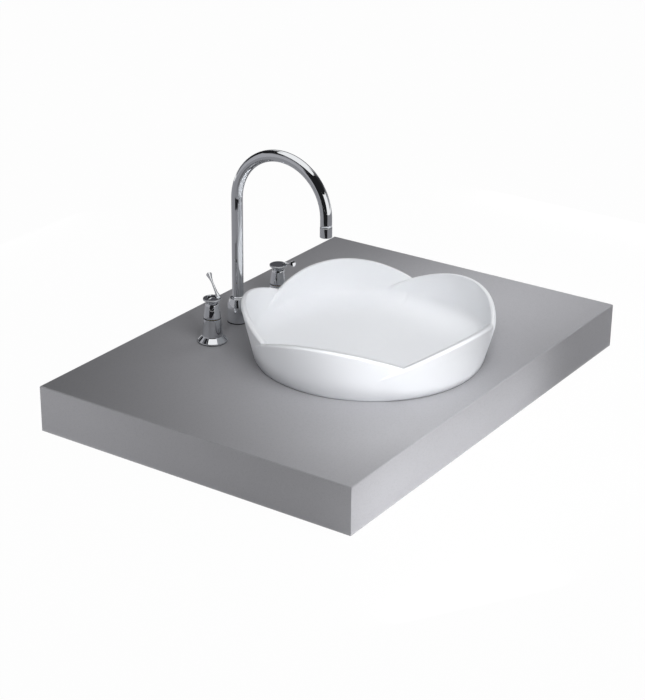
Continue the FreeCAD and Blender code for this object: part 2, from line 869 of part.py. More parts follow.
def make_link(prefix, x, y, heading):
    """A pipe from a valve's port to the tee's, and the nut on each of its ends."""
    start = size.port_reach - size.pipe_entry + size.fit_gap
    length = link_span() - 2 * start
    pipe = ring(prefix + "_pipe_tube", size.pipe_radius - size.pipe_wall, size.pipe_radius, length)
    lay(pipe, x, y, size.port_height, heading, 0, start)
    piece(pipe, prefix + "_pipe")
    nuts = []
    spout_x, spout_y = tap_points()[2]
    ends = (("valve", x, y, heading), ("spout", spout_x, spout_y, heading + 180))
    for end, axis_x, axis_y, facing in ends:
        name = f"{prefix}_{end}_pipe_nut"
        pipe_bore = size.pipe_radius + size.fit_gap
        blank = hexagon(name + "_blank", pipe_bore, size.pipe_nut_width, size.pipe_nut_length)
        cover = doc.addObject("Part::Cylinder", name + "_thread")
        bind(cover, "Radius", size.port_radius + size.fit_gap)
        bind(cover, "Height", size.pipe_nut_cover)
        nut = doc.addObject("Part::Cut", name)
        nut.Base = blank
        nut.Tool = cover
        lay(nut, axis_x, axis_y, size.port_height, facing, 0, size.port_reach - size.pipe_nut_cover)
        nuts.append(nut)
    pair = doc.addObject("Part::Compound", prefix + "_nut_pair")
    pair.Links = nuts
    piece(pair, prefix + "_pipe_nuts")


def make_valve(prefix, x, y, heading, lever_angle, side):
    """One quarter turn valve, its escutcheon and its lever, at a point of the counter."""
    deck = size.counter_height
    gasket = size.gasket_thick

    def at_valve(thing, height, label):
        place(thing, x, y, deck + height)
        return piece(thing, f"{prefix}_{label}")

    thread = size.tap_thread_radius
    gasket_radius = size.escutcheon_radius - size.escutcheon_rim / 2
    at_valve(ring(prefix + "_gasket_ring", thread + size.fit_gap, gasket_radius, gasket), 0, "gasket")

    wall = size.escutcheon_wall
    clear = size.valve_collar_radius + size.loose_gap
    collar_top = size.valve_collar_thick + size.loose_gap
    foot_z = size.escutcheon_rim + size.escutcheon_cone_height
    at_valve(turned(prefix + "_shroud", [
        (clear, 0),
        (size.escutcheon_radius, 0),
        (size.escutcheon_radius, size.escutcheon_rim),
        (size.escutcheon_foot_radius, foot_z),
        (size.escutcheon_top_radius, size.escutcheon_height - gasket),
        (size.escutcheon_top_radius - wall, size.escutcheon_height - gasket),
        (size.escutcheon_foot_radius - wall, foot_z),
        (clear, collar_top),
    ]), gasket, "escutcheon")

    base = size.inlet_bottom
    barrel = size.cartridge_radius + size.valve_wall
    cartridge_bore = size.cartridge_radius + size.fit_gap
    body = turned(prefix + "_barrel", [
        (size.waterway_radius, base),
        (size.inlet_radius, base),
        (size.inlet_radius, size.valve_block_bottom),
        (size.valve_block_radius, size.valve_block_bottom),
        (size.valve_block_radius, size.valve_block_top),
        (thread, size.valve_block_top),
        (thread, deck + gasket),
        (size.valve_collar_radius, deck + gasket),
        (size.valve_collar_radius, deck + gasket + size.valve_collar_thick),
        (barrel, deck + gasket + size.valve_collar_thick),
        (barrel, deck + size.valve_top),
        (cartridge_bore, deck + size.valve_top),
        (cartridge_bore, deck + size.cartridge_foot),
        (size.waterway_radius, deck + size.cartridge_foot),
    ])
    boss, drill = make_port(prefix + "_outlet", heading)
    way = rod(prefix + "_waterway", size.waterway_radius, base, deck + size.cartridge_foot)
    at_valve(drilled(prefix + "_casting", [body, boss], [drill, way]), -deck, "valve_body")

    spindle_bore = size.spindle_radius + size.fit_gap
    seat = size.valve_top - size.cartridge_foot
    socket = size.spindle_foot - size.cartridge_foot
    at_valve(turned(prefix + "_ceramic", [
        (0, 0),
        (size.cartridge_radius, 0),
        (size.cartridge_radius, seat),
        (size.gland_radius, seat),
        (size.gland_radius, seat + size.gland_height),
        (spindle_bore, seat + size.gland_height),
        (spindle_bore, socket),
        (0, socket),
    ]), size.cartridge_foot, "cartridge")
    spindle_z = size.spindle_foot + size.loose_gap
    spindle_length = size.spindle_top - spindle_z
    at_valve(turned(prefix + "_rod", [
        (0, 0),
        (size.spindle_radius, 0),
        (size.spindle_radius, spindle_length),
        (0, spindle_length),
    ]), spindle_z, "spindle")
    make_lever(prefix, x, y, lever_angle, side)
    clamp(prefix, x, y)
    make_link(prefix, x, y, heading)


def make_lever(prefix, x, y, angle, side):
    """The bell that turns the spindle, with a rod beside its axis that rises to a flared end."""
    deck = size.counter_height
    bell_z = size.escutcheon_height + size.bell_gap
    socket = size.spindle_radius + size.fit_gap
    bell = turned(prefix + "_bell", [
        (size.bell_hollow_radius, bell_z),
        (size.bell_radius, bell_z),
        (size.bell_radius, bell_z + size.bell_gap, size.bell_side_curve),
        (size.bell_shoulder_radius, size.bell_shoulder_height, size.bell_dome_curve),
        (size.bell_neck_radius, size.bell_neck_height),
        (size.cap_radius, size.lever_height - size.cap_thick),
        (size.cap_radius, size.lever_height - size.cap_thick / 3),
        (size.cap_radius - size.cap_thick / 3, size.lever_height),
        (0, size.lever_height),
        (0, size.spindle_top + size.loose_gap),
        (socket, size.spindle_top + size.loose_gap),
        (socket, bell_z + size.bell_hollow_height),
        (size.bell_hollow_radius, bell_z + size.bell_hollow_height),
    ])
    zero = as_size(0)
    sideways = -side * size.lever_offset
    root_z = size.lever_height - size.cap_thick / 3
    boss = doc.addObject("Part::Cylinder", prefix + "_lever_boss")
    bind(boss, "Radius", size.lever_boss_radius)
    bind(boss, "Height", size.lever_boss_length)
    lay(boss, zero, zero, root_z, zero, size.lever_rise, zero, sideways)
    hole = doc.addObject("Part::Cylinder", prefix + "_lever_hole")
    bind(hole, "Radius", size.lever_spigot_radius + size.fit_gap)
    bind(hole, "Height", size.lever_spigot_length + size.fit_gap)
    shoulder = size.lever_boss_length
    hole_foot = shoulder - size.lever_spigot_length - size.fit_gap
    lay(hole, zero, zero, root_z, zero, size.lever_rise, hole_foot, sideways)
    screw_hole = doc.addObject("Part::Cylinder", prefix + "_screw_hole")
    bind(screw_hole, "Radius", size.lever_screw_radius + size.fit_gap)
    bind(screw_hole, "Height", size.bell_radius)
    lay(screw_hole, zero, zero, size.lever_screw_height, as_size(180), 0, size.spindle_radius)
    head = drilled(prefix + "_head", [bell, boss], [hole, screw_hole])
    place(head, x, y, deck, turn=angle)
    piece(head, prefix + "_lever_head")

    screw_length = size.bell_hollow_radius - size.spindle_radius - size.fit_gap
    screw = turned(prefix + "_grub", [
        (0, 0),
        (size.lever_screw_radius, 0),
        (size.lever_screw_radius, screw_length),
        (size.lever_screw_radius / 2, screw_length),
        (size.lever_screw_radius / 2, screw_length / 2),
        (0, screw_length / 2),
    ])
    lay(screw, x, y, deck + size.lever_screw_height, angle + 180, 0, size.spindle_radius + size.fit_gap)
    piece(screw, prefix + "_lever_screw")

    spigot = size.lever_spigot_length
    length = spigot + size.lever_length - shoulder
    flare_z = length - size.lever_flare
    widen = size.lever_tip_radius - size.lever_waist_radius
    flare_curve = (size.lever_flare * size.lever_flare + widen * widen) / (2 * widen)
    lever = turned(prefix + "_trumpet", [
        (0, 0),
        (size.lever_spigot_radius, 0),
        (size.lever_spigot_radius, spigot),
        (size.lever_root_radius, spigot),
        (size.lever_waist_radius, flare_z, -flare_curve),
        (size.lever_tip_radius, length),
        (size.lever_tip_radius - size.lever_waist_radius / 2, length + size.lever_waist_radius / 2),
        (0, length + size.lever_waist_radius / 2),
    ])
    lay(lever, x, y, deck + root_z, angle, size.lever_rise, shoulder - spigot, sideways)
    piece(lever, prefix + "_lever_rod")


def make_tap():
    """The spout with its tee, and a valve on each side of it."""
    make_spout()
    make_tee()
    hot, cold = tap_points()[:2]
    make_valve("hot", hot[0], hot[1], link_angle(), size.hot_lever_angle, 1)
    make_valve("cold", cold[0], cold[1], 180 - link_angle(), size.cold_lever_angle, -1)


make_counter()
make_basin()
make_waste()
make_tap()
doc.recompute()

failed = [thing.Name for thing in doc.Objects if "Invalid" in thing.State or "Error" in thing.State]
bad = [thing.Label for thing in pieces if thing.Shape.isNull() or not thing.Shape.isValid()]
if failed or bad:
    raise RuntimeError(f"failed objects {failed}, bad shapes {bad}")
os.makedirs("parts", exist_ok=True)
for thing in pieces:
    thing.Shape.exportStep(f"parts/{thing.Label}.step")
print(len(pieces), "pieces")
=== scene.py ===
"""Dress a petal basin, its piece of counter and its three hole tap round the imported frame."""

from __future__ import annotations

import logging
import math
from dataclasses import dataclass
from enum import Enum
from typing import Sequence

import bpy
from mathutils import Matrix, Quaternion, Vector

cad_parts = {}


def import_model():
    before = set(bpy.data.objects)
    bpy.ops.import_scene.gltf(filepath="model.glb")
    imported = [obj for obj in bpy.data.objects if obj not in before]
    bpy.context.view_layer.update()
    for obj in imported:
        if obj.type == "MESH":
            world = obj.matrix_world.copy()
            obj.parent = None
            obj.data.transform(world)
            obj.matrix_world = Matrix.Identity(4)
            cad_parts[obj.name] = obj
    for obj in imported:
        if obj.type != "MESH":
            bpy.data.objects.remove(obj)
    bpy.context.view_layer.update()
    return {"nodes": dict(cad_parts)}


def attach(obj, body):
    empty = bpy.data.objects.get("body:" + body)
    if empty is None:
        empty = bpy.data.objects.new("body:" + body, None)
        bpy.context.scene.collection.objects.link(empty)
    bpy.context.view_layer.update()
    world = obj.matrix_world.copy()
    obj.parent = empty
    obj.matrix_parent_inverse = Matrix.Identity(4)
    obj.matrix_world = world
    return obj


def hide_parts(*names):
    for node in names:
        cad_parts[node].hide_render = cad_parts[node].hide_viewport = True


LOG = logging.getLogger("basin")
MM = 0.001
WHITE = "ffffff"
# A radius under this many millimetres lies on the axis.
ON_AXIS = 1e-6
# How many octaves the slow drift and the fine relief have.
DRIFT_DETAIL = 3.0
GRAIN_DETAIL = 2.0
# How many points the smallest roundings have.
ROUND_STEPS = 4

Point = tuple[float, float]
Place = tuple[float, float, float]
Corner = tuple[float, float, float]
Colour = tuple[float, float, float, float]


def linear(code: str) -> Colour:
    """Turn an sRGB hex colour into linear light.

    Args:
        code: six hex digits.

    Returns:
        Linear red, green, blue and an alpha of 1.
    """
    channels = [int(code[i:i + 2], 16) / 255 for i in (0, 2, 4)]
    light = [c / 12.92 if c <= 0.04045 else ((c + 0.055) / 1.055) ** 2.4 for c in channels]
    return (light[0], light[1], light[2], 1.0)


def add_node(tree: bpy.types.NodeTree, kind: str, inputs: dict | None = None,
             **settings: object) -> bpy.types.Node:
    """Add one node with its settings, and set or link its inputs.

    Args:
        tree: the node tree that takes the node.
        kind: Blender's name for the node type.
        inputs: a value or an output socket for each named or numbered input.
        settings: properties of the node itself.

    Returns:
        The new node.
    """
    node = tree.nodes.new(kind)
    for key, value in settings.items():
        setattr(node, key, value)
    for key, value in (inputs or {}).items():
        if isinstance(value, bpy.types.NodeSocket):
            tree.links.new(value, node.inputs[key])
        else:
            node.inputs[key].default_value = value
    return node


def blank_material(name: str) -> bpy.types.Material:
    """Make a material that has no nodes yet.

    Args:
        name: the material's name.

    Returns:
        The new material.
    """
    material = bpy.data.materials.new(name)
    material.use_nodes = True
    material.node_tree.nodes.clear()
    return material


def add_object(name: str, data: bpy.types.ID) -> bpy.types.Object:
    """Make an object and link it to the scene.

    Args:
        name: the object's name.
        data: its mesh, camera or light.

    Returns:
        The new object.
    """
    thing = bpy.data.objects.new(name, data)
    bpy.context.scene.collection.objects.link(thing)
    return thing


@dataclass(frozen=True)
class Finish:
    """A surface with a soft drift of tone and a fine relief, both at a real size.

    The drift is what keeps a plain colour from looking printed: glaze that pools, plating that
    smears, brass that dulls.
    """

    name: str
    colour: str
    drift_colour: str
    roughness: float
    metallic: float = 0.0
    ior: float = 1.5
    drift_mm: float = 60.0
    roughness_drift: float = 0.03
    relief_mm: float = 2.0
    relief_depth_mm: float = 0.01

    def build(self) -> bpy.types.Material:
        """Make the material.

        Returns:
            The new material, with its shader linked.
        """
        material = blank_material(self.name)
        tree = material.node_tree
        place = add_node(tree, "ShaderNodeTexCoord").outputs["Object"]
        drift = add_node(tree, "ShaderNodeTexNoise", {
            "Vector": place, "Scale": 1 / (self.drift_mm * MM),
            "Detail": DRIFT_DETAIL}).outputs["Fac"]
        shader = add_node(tree, "ShaderNodeBsdfPrincipled", {
            "Base Color": self.tone(tree, place, drift),
            "Metallic": self.metallic,
            "Roughness": add_node(tree, "ShaderNodeMapRange", {
                "Value": drift,
                "To Min": max(0.0, self.roughness - self.roughness_drift),
                "To Max": self.roughness + self.roughness_drift}).outputs["Result"],
            "Normal": self.relief(tree, place),
        })
        if self.metallic == 0.0:
            shader.inputs["IOR"].default_value = self.ior
        add_node(tree, "ShaderNodeOutputMaterial", {"Surface": shader.outputs["BSDF"]})
        return material

    def tone(self, tree: bpy.types.NodeTree, place: bpy.types.NodeSocket,
             drift: bpy.types.NodeSocket) -> bpy.types.NodeSocket:
        """Give the colour all over the surface.

        Args:
            tree: the material's nodes.
            place: object coordinates in metres.
            drift: the slow noise, from 0 to 1.

        Returns:
            The colour socket.
        """
        mix = add_node(tree, "ShaderNodeMix", {
            "Factor": drift, "A": linear(self.colour),
            "B": linear(self.drift_colour)}, data_type="RGBA")
        return mix.outputs["Result"]

    def relief(self, tree: bpy.types.NodeTree, place: bpy.types.NodeSocket) -> bpy.types.NodeSocket:
        """Give the fine relief of the surface.

        Args:
            tree: the material's nodes.
            place: object coordinates in metres.

        Returns:
            The bumped normal.
        """
        grain = add_node(tree, "ShaderNodeTexNoise", {
            "Vector": place, "Scale": 1 / (self.relief_mm * MM),
            "Detail": GRAIN_DETAIL}).outputs["Fac"]
        bump = add_node(tree, "ShaderNodeBump", {
            "Strength": 1.0, "Distance": self.relief_depth_mm * MM, "Height": grain})
        return bump.outputs["Normal"]


@dataclass(frozen=True)
class Speckled(Finish):
    """A filled resin sheet, whose fine grit shows as darker specks.

    The grit is drawn coarser than it is, so that it shows at all.
    """

    speck_mm: float = 1.6
    speck_dark: str = "96969a"
    speck_from: float = 0.55
    speck_share: float = 0.35

    def tone(self, tree: bpy.types.NodeTree, place: bpy.types.NodeSocket,
             drift: bpy.types.NodeSocket) -> bpy.types.NodeSocket:
        """Give the sheet's colour with its grit.

        Args:
            tree: the material's nodes.
            place: object coordinates in metres.
            drift: the slow noise, from 0 to 1.

        Returns:
            The colour socket.
        """
        ground = super().tone(tree, place, drift)
        grit = add_node(tree, "ShaderNodeTexVoronoi", {
            "Vector": place, "Scale": 1 / (self.speck_mm * MM)}).outputs["Color"]
        pick = add_node(tree, "ShaderNodeSeparateColor", {"Color": grit}).outputs["Red"]
        share = add_node(tree, "ShaderNodeMapRange", {
            "Value": pick, "From Min": self.speck_from, "From Max": 1.0,
            "To Max": self.speck_share}).outputs["Result"]
        mix = add_node(tree, "ShaderNodeMix", {
            "Factor": share, "A": ground, "B": linear(self.speck_dark)}, data_type="RGBA")
        return mix.outputs["Result"]


# Vitreous china under a soft glaze: a bright white with a broad, slightly wavy sheen.
GLAZED_CHINA = Finish("glazed_vitreous_china", "ebedf0", "e5e7eb", roughness=0.36, ior=1.52,
                      drift_mm=120, relief_mm=9, relief_depth_mm=0.02)
# Mineral filled acrylic sheet, sanded to a satin: an even grey with grit that only shows close by.
ACRYLIC_SHEET = Speckled("sanded_acrylic_solid_surface", "acacb0", "a6a6aa", roughness=0.34,
                         ior=1.49, drift_mm=180, relief_mm=1.2, relief_depth_mm=0.006)
# Bright chromium on polished brass: a mirror with a cold tint and faint wiping marks.
CHROME_PLATE = Finish("chrome_plated_brass", "eceef0", "e4e6e9", roughness=0.03, metallic=1.0,
                      drift_mm=18, roughness_drift=0.01, relief_mm=12, relief_depth_mm=0.0003)
# Turned brass left bare under the counter: dull yellow with fine tool marks.
TURNED_BRASS = Finish("turned_brass", "c9a55c", "b08e4b", roughness=0.32, metallic=1.0,
                      drift_mm=14, relief_mm=0.6, relief_depth_mm=0.01)
# Pressed stainless steel: grey, half bright.
STAINLESS = Finish("pressed_stainless_steel", "b9bbbd", "a6a8ab", roughness=0.28, metallic=1.0,
                   drift_mm=12, relief_mm=0.8, relief_depth_mm=0.006)
# Drawn copper pipe, browned by handling.
COPPER = Finish("drawn_copper", "b87350", "9a5c40", roughness=0.3, metallic=1.0, drift_mm=20,
                relief_mm=1.0, relief_depth_mm=0.006)
# Black nitrile rubber with its moulded skin.
NITRILE = Finish("moulded_nitrile_rubber", "232324", "2c2c2e", roughness=0.62, ior=1.52,
                 drift_mm=10, relief_mm=0.8, relief_depth_mm=0.02)
# White silicone bead, tooled with a wet finger.
SILICONE = Finish("silicone_sealant", "dfe1e2", "d3d6d8", roughness=0.42, ior=1.41, drift_mm=15,
                  relief_mm=4, relief_depth_mm=0.03)
# Black acetal, waxy and half bright.
ACETAL = Finish("moulded_black_acetal", "1d1d1f", "252527", roughness=0.4, ior=1.48, drift_mm=12,
                relief_mm=1.0, relief_depth_mm=0.01)
FINISHES = (GLAZED_CHINA, ACRYLIC_SHEET, CHROME_PLATE, TURNED_BRASS, STAINLESS, COPPER, NITRILE,
            SILICONE, ACETAL)


def dress(thing: bpy.types.Object, material: bpy.types.Material) -> None:
    """Give an object one material all over."""
    thing.data.materials.clear()
    thing.data.materials.append(material)


def make_mesh(name: str, points: Sequence[Vector],
              faces: Sequence[Sequence[int]]) -> bpy.types.Object:
    """Make a smooth shaded mesh object from points in millimetres.

    Args:
        name: the piece's name.
        points: the vertices, in the part's frame.
        faces: vertex numbers of each face.

    Returns:
        The object, linked to the scene.
    """
    mesh = bpy.data.meshes.new(name)
    mesh.from_pydata([tuple(p * MM) for p in points], [], faces)
    mesh.polygons.foreach_set("use_smooth", [True] * len(mesh.polygons))
    mesh.update()
    return add_object(name, mesh)


def arc(start: Point, end: Point, radius: float, steps: int = 8) -> list[Point]:
    """Points after start along an arc to end, turning left for a positive radius.

    Args:
        start: where the arc leaves.
        end: where it arrives, the last point of the result.
        radius: the arc's radius, negative to turn right.
        steps: how many points to give.

    Returns:
        The points, without start.
    """
    chord = Vector((end[0] - start[0], end[1] - start[1]))
    reach = math.sqrt(max(0.0, radius * radius - chord.length_squared / 4))
    side = Vector((-chord.y, chord.x)).normalized() * math.copysign(reach, radius)
    centre = Vector(start) + chord / 2 + side
    first = Vector(start) - centre
    swing = 2 * math.asin(min(1.0, chord.length / (2 * abs(radius)))) * math.copysign(1, radius)
    turns = [swing * (i + 1) / steps for i in range(steps)]
    return [(centre.x + first.x * math.cos(a) - first.y * math.sin(a),
             centre.y + first.x * math.sin(a) + first.y * math.cos(a)) for a in turns]


def eased(corners: Sequence[Corner], closed: bool = True, steps: int = 5) -> list[Point]:
    """Round the corners of an outline.

    Args:
        corners: radius, height and rounding of each corner.
        closed: whether the last corner joins the first.
        steps: how many pieces each rounding has.

    Returns:
        The outline's points.
    """
    outline: list[Point] = []
    count = len(corners)
    for i, (x, y, ease) in enumerate(corners):
        here = Vector((x, y))
        if ease == 0 or (not closed and i in (0, count - 1)):
            outline.append((x, y))
            continue
        before = (Vector(corners[i - 1][:2]) - here).normalized()
        after = (Vector(corners[(i + 1) % count][:2]) - here).normalized()
        half = before.angle(after) / 2
        back = ease / math.tan(half)
        start = here + before * back
        end = here + after * back
        turn = math.copysign(ease, before.cross(after) * -1)
        outline.append(tuple(start))
        outline.extend(arc(tuple(start), tuple(end), turn, steps))
    return outline


def guarded(outline: Sequence[Point], closed: bool, long: float = 3.0,
            guard: float = 0.2) -> list[Point]:
    """Add a point near each end of a long straight, so that a rounding beside it doesn't shade it.

    Args:
        outline: the outline's points.
        closed: whether the last point joins the first.
        long: the length over which a straight gets its two points.
        guard: how far from the ends they lie.

    Returns:
        The outline with the added points.
    """
    result: list[Point] = []
    count = len(outline)
    for i, here in enumerate(outline):
        result.append(here)
        there = outline[(i + 1) % count]
        run = math.dist(here, there)
        if run > long and (closed or i < count - 1):
            for share in (guard / run, 1 - guard / run):
                result.append((here[0] + (there[0] - here[0]) * share,
                               here[1] + (there[1] - here[1]) * share))
    return result


def lathe(name: str, outline: Sequence[Point], closed: bool = True,
          steps: int = 96) -> bpy.types.Object:
    """Turn an outline about the Z axis.

    Args:
        name: the piece's name.
        outline: radius and height of each point, anticlockwise with the solid on its left.
        closed: whether the last point joins the first; a point on the axis makes a pole.
        steps: how many columns the turned mesh has.

    Returns:
        The turned object, standing on the origin.
    """
    points: list[Vector] = []
    rings: list[list[int]] = []
    for radius, height in guarded(outline, closed):
        if radius < ON_AXIS:
            rings.append([len(points)] * steps)
            points.append(Vector((0, 0, height)))
            continue
        rings.append([len(points) + k for k in range(steps)])
        turns = [2 * math.pi * k / steps for k in range(steps)]
        points.extend(Vector((radius * math.cos(a), radius * math.sin(a), height)) for a in turns)
    faces: list[list[int]] = []
    for i in range(len(rings) if closed else len(rings) - 1):
        lower, upper = rings[i], rings[(i + 1) % len(rings)]
        for k in range(steps):
            following = (k + 1) % steps
            face = [lower[k], lower[following], upper[following], upper[k]]
            unique = list(dict.fromkeys(face))
            if len(unique) > 2:
                faces.append(unique)
    return make_mesh(name, points, faces)


def move(thing: bpy.types.Object, x: float, y: float, z: float,
         turn: Matrix | None = None) -> None:
    """Turn an object's mesh and carry it to a point, in millimetres."""
    place = Matrix.Translation(Vector((x, y, z)) * MM)
    thing.data.transform(place @ turn.to_4x4() if turn else place)


@dataclass
class Assembly:
    """A group of pieces that knows the frame and the finishes."""

    nodes: dict[str, bpy.types.Object]
    finishes: dict[str, bpy.types.Material]

    def keep(self, node: str, finish: Finish) -> None:
        """Show a CAD node as it is, in a finish.

        Args:
            node: the node's name.
            finish: the finish that it takes.
        """
        dress(self.nodes[node], self.finishes[finish.name])
        LOG.info("kept %s", node)

    def stand_in(self, thing: bpy.types.Object, node: str, body: str, finish: Finish,
                 slot: str) -> None:
        """Show a finer piece in place of a CAD node.

        Args:
            thing: the new piece, in place.
            node: the node that it stands for.
            body: the body that it rides on.
            finish: the finish that it takes.
            slot: the record's material slot; not used.
        """
        dress(thing, self.finishes[finish.name])
        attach(thing, body)
        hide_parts(node)
        LOG.info("made %s", thing.name)


@dataclass
class Counter(Assembly):
    """The top sheet and the strips of its deep edge."""

    def build(self) -> None:
        """Dress the sheet and its strips."""
        for node in ("counter_top", "front_apron", "right_apron", "back_apron", "left_apron"):
            self.keep(node, ACRYLIC_SHEET)


@dataclass
class PetalBasin(Assembly):
    """Five overlapping petals on a dished floor, as one glazed shell."""

    x: float = -7.5
    y: float = -59.0
    z: float = 80.0
    foot_radius: float = 193.0
    wall: float = 9.5
    flare: float = 13.9
    crest: float = 89.5
    notch: float = 60.5
    span: float = 72.0
    overlap: float = 16.0
    hold_inside: Point = (0.5, 0.9)
    hold_outside: Point = (0.0, 0.75)
    first_petal: float = 47.8
    shift: float = 1.6
    lean: float = 2.5
    rim_round: float = 4.4
    floor: float = 18.0
    floor_fall: float = 1.3
    flat_radius: float = 112.0
    dish_height: float = 42.0
    lap_foot: float = 24.0
    seat_radius: float = 32.1
    seat_height: float = 9.3
    bore_radius: float = 22.5
    pad_radius: float = 42.0
    recess: float = 5.0
    foot_inside: float = 167.0
    foot_round: float = 1.5
    under_round: float = 1.0
    brim: float = 4.0
    seat_edge: float = 0.1
    seat_round: float = 0.4
    bore_round: float = 0.6
    wall_pull: float = 0.8
    floor_pull: float = 0.6
    floor_rise: float = 0.5
    lap_clear: float = 0.3
    lap_step: float = 0.05
    least_rise: float = 1.0
    columns: int = 540
    wall_rows: int = 14
    lap_rows: int = 12
    upper_rows: int = 10
    rim_rows: int = 10
    dish_rows: int = 32
    floor_rows: int = 8

    def wall_radius(self, turn: float, height: float) -> float:
        """Give a petal's outer radius.

        Args:
            turn: degrees from the petal's middle.
            height: millimetres over the counter.

        Returns:
            The radius of its outer face there.
        """
        swing = math.sin(math.radians(turn))
        slope = math.tan(math.radians(self.flare)) - math.tan(math.radians(self.lean)) * swing
        return self.foot_radius - self.shift * swing + height * slope

    def edge_height(self, turn: float) -> float:
        """Give the height of a petal's arched edge.

        Args:
            turn: degrees from the petal's middle.

        Returns:
            The edge's height over the counter.
        """
        rim = self.foot_radius + self.notch * math.tan(math.radians(self.flare))
        half = rim * math.sin(math.radians(self.span / 2))
        rise = self.crest - self.notch
        arch = (half * half + rise * rise) / (2 * rise)
        across = rim * math.sin(math.radians(turn))
        return math.sqrt(arch * arch - across * across) - arch + self.crest

    def lap(self, turn: float, hold: Point) -> tuple[float, float]:
        """Give the height of a neighbour's edge on this petal, and how far it stands out.

        Args:
            turn: degrees from the petal's middle towards that neighbour.
            hold: the shares of the overlap where the edge starts to fade and has faded.

        Returns:
            The edge's height, and a share from 0, where it has faded, to 1 at the notch.
        """
        past = (self.span / 2 - turn) / self.overlap
        ceiling = self.edge_height(turn) - self.lap_clear
        if past >= 1:
            low = self.edge_height(self.span / 2 + self.overlap)
            slide = (turn + self.span / 2) / (self.span - self.overlap)
            return min(ceiling, self.notch + (low - self.notch) * slide), 0.0
        share = min(1.0, max(0.0, (past - hold[0]) / (hold[1] - hold[0])))
        return min(ceiling, self.edge_height(self.span - turn)), 1 - share * share * (3 - 2 * share)

    def rolled(self, height: float, edge: float) -> float:
        """Give how far a rim that is round on its side draws back at a height under its edge."""
        into = max(0.0, height - edge + self.rim_round)
        return self.rim_round - math.sqrt(max(0.0, self.rim_round ** 2 - into ** 2))

    def outer(self, turn: float, height: float) -> float:
        """Give the outside of the shell, with the next petal's edge proud of it.

        Args:
            turn: degrees from the petal's middle.
            height: millimetres over the counter.

        Returns:
            The shell's outer radius.
        """
        own = self.wall_radius(turn, height)
        edge, share = self.lap(turn, self.hold_outside)
        side = own - self.rolled(height, self.edge_height(turn))
        if share == 0.0 or height > edge:
            return side
        proud = (self.wall_radius(turn - self.span, height) - own) * share
        return max(side, own + proud - self.rolled(height, edge))

    def inner(self, turn: float, height: float) -> float:
        """Give the inside of the shell, with the last petal's edge proud of it.

        Args:
            turn: degrees from the petal's middle.
            height: millimetres over the counter.

        Returns:
            The shell's inner radius.
        """
        own = self.wall_radius(turn, height) - self.wall
        side = own + self.rolled(height, self.edge_height(turn))
        return min(side, own - self.crease(turn, height))

    def crease(self, turn: float, height: float) -> float:
        """Give how far the last petal's edge stands inside this one, less where it rolls over.

        Args:
            turn: degrees from the petal's middle.
            height: millimetres over the counter.

        Returns:
            The step inwards, 0 over the edge and where it has faded.
        """
        edge, share = self.lap(-turn, self.hold_inside)
        if share == 0.0 or height > edge:
            return 0.0
        proud = self.wall_radius(turn, height) - self.wall_radius(turn + self.span, height)
        fade = min(1.0, max(0.0, (height - self.lap_foot) / (self.dish_height - self.lap_foot)))
        return (proud * share - self.rolled(height, edge)) * fade

    def section(self, turn: float) -> list[Point]:
        """Give the shell's section at a turn from a petal's middle.

        Args:
            turn: degrees from the middle of the petal that stands highest there.

        Returns:
            Radius and height of each point, round the section from the bore's foot.
        """
        top = self.edge_height(turn)
        outer_edge = self.lap(turn, self.hold_outside)[0]
        inner_edge = self.lap(-turn, self.hold_inside)[0]
        outside = [(self.outer(turn, h), h) for h in self.heights(self.foot_round, outer_edge, top)]
        inside = [(self.inner(turn, h), h) for h in self.heights(self.dish_height, inner_edge, top)]
        wall_foot = self.wall_radius(turn, self.dish_height) - self.wall
        cove = [(r - max(0.0, self.crease(turn, h)), h) for r, h in self.dish(wall_foot)]
        return self.under() + outside + inside[::-1] + cove

    def heights(self, low: float, edge: float, top: float) -> list[float]:
        """Give heights up a wall, closest where an edge rolls over.

        Args:
            low: where the wall starts.
            edge: the height of a neighbour's edge.
            top: the height of the wall's own edge.

        Returns:
            The heights, always the same count.
        """
        edge = max(edge, low + 2 * self.least_rise)
        foot = max(low + self.least_rise, edge - self.rim_round)
        shoulder = max(top - self.rim_round, edge + 2 * self.lap_step)
        above = edge + self.lap_step
        heights = [low + (foot - low) * i / self.wall_rows for i in range(self.wall_rows)]
        heights += [foot + (edge - foot) * math.sin(math.pi * i / (2 * self.lap_rows))
                    for i in range(self.lap_rows + 1)]
        heights += [above + (shoulder - edge - self.lap_step) * i / self.upper_rows
                    for i in range(self.upper_rows)]
        heights += [shoulder + (top - shoulder) * math.sin(math.pi * i / (2 * self.rim_rows))
                    for i in range(self.rim_rows + 1)]
        return heights

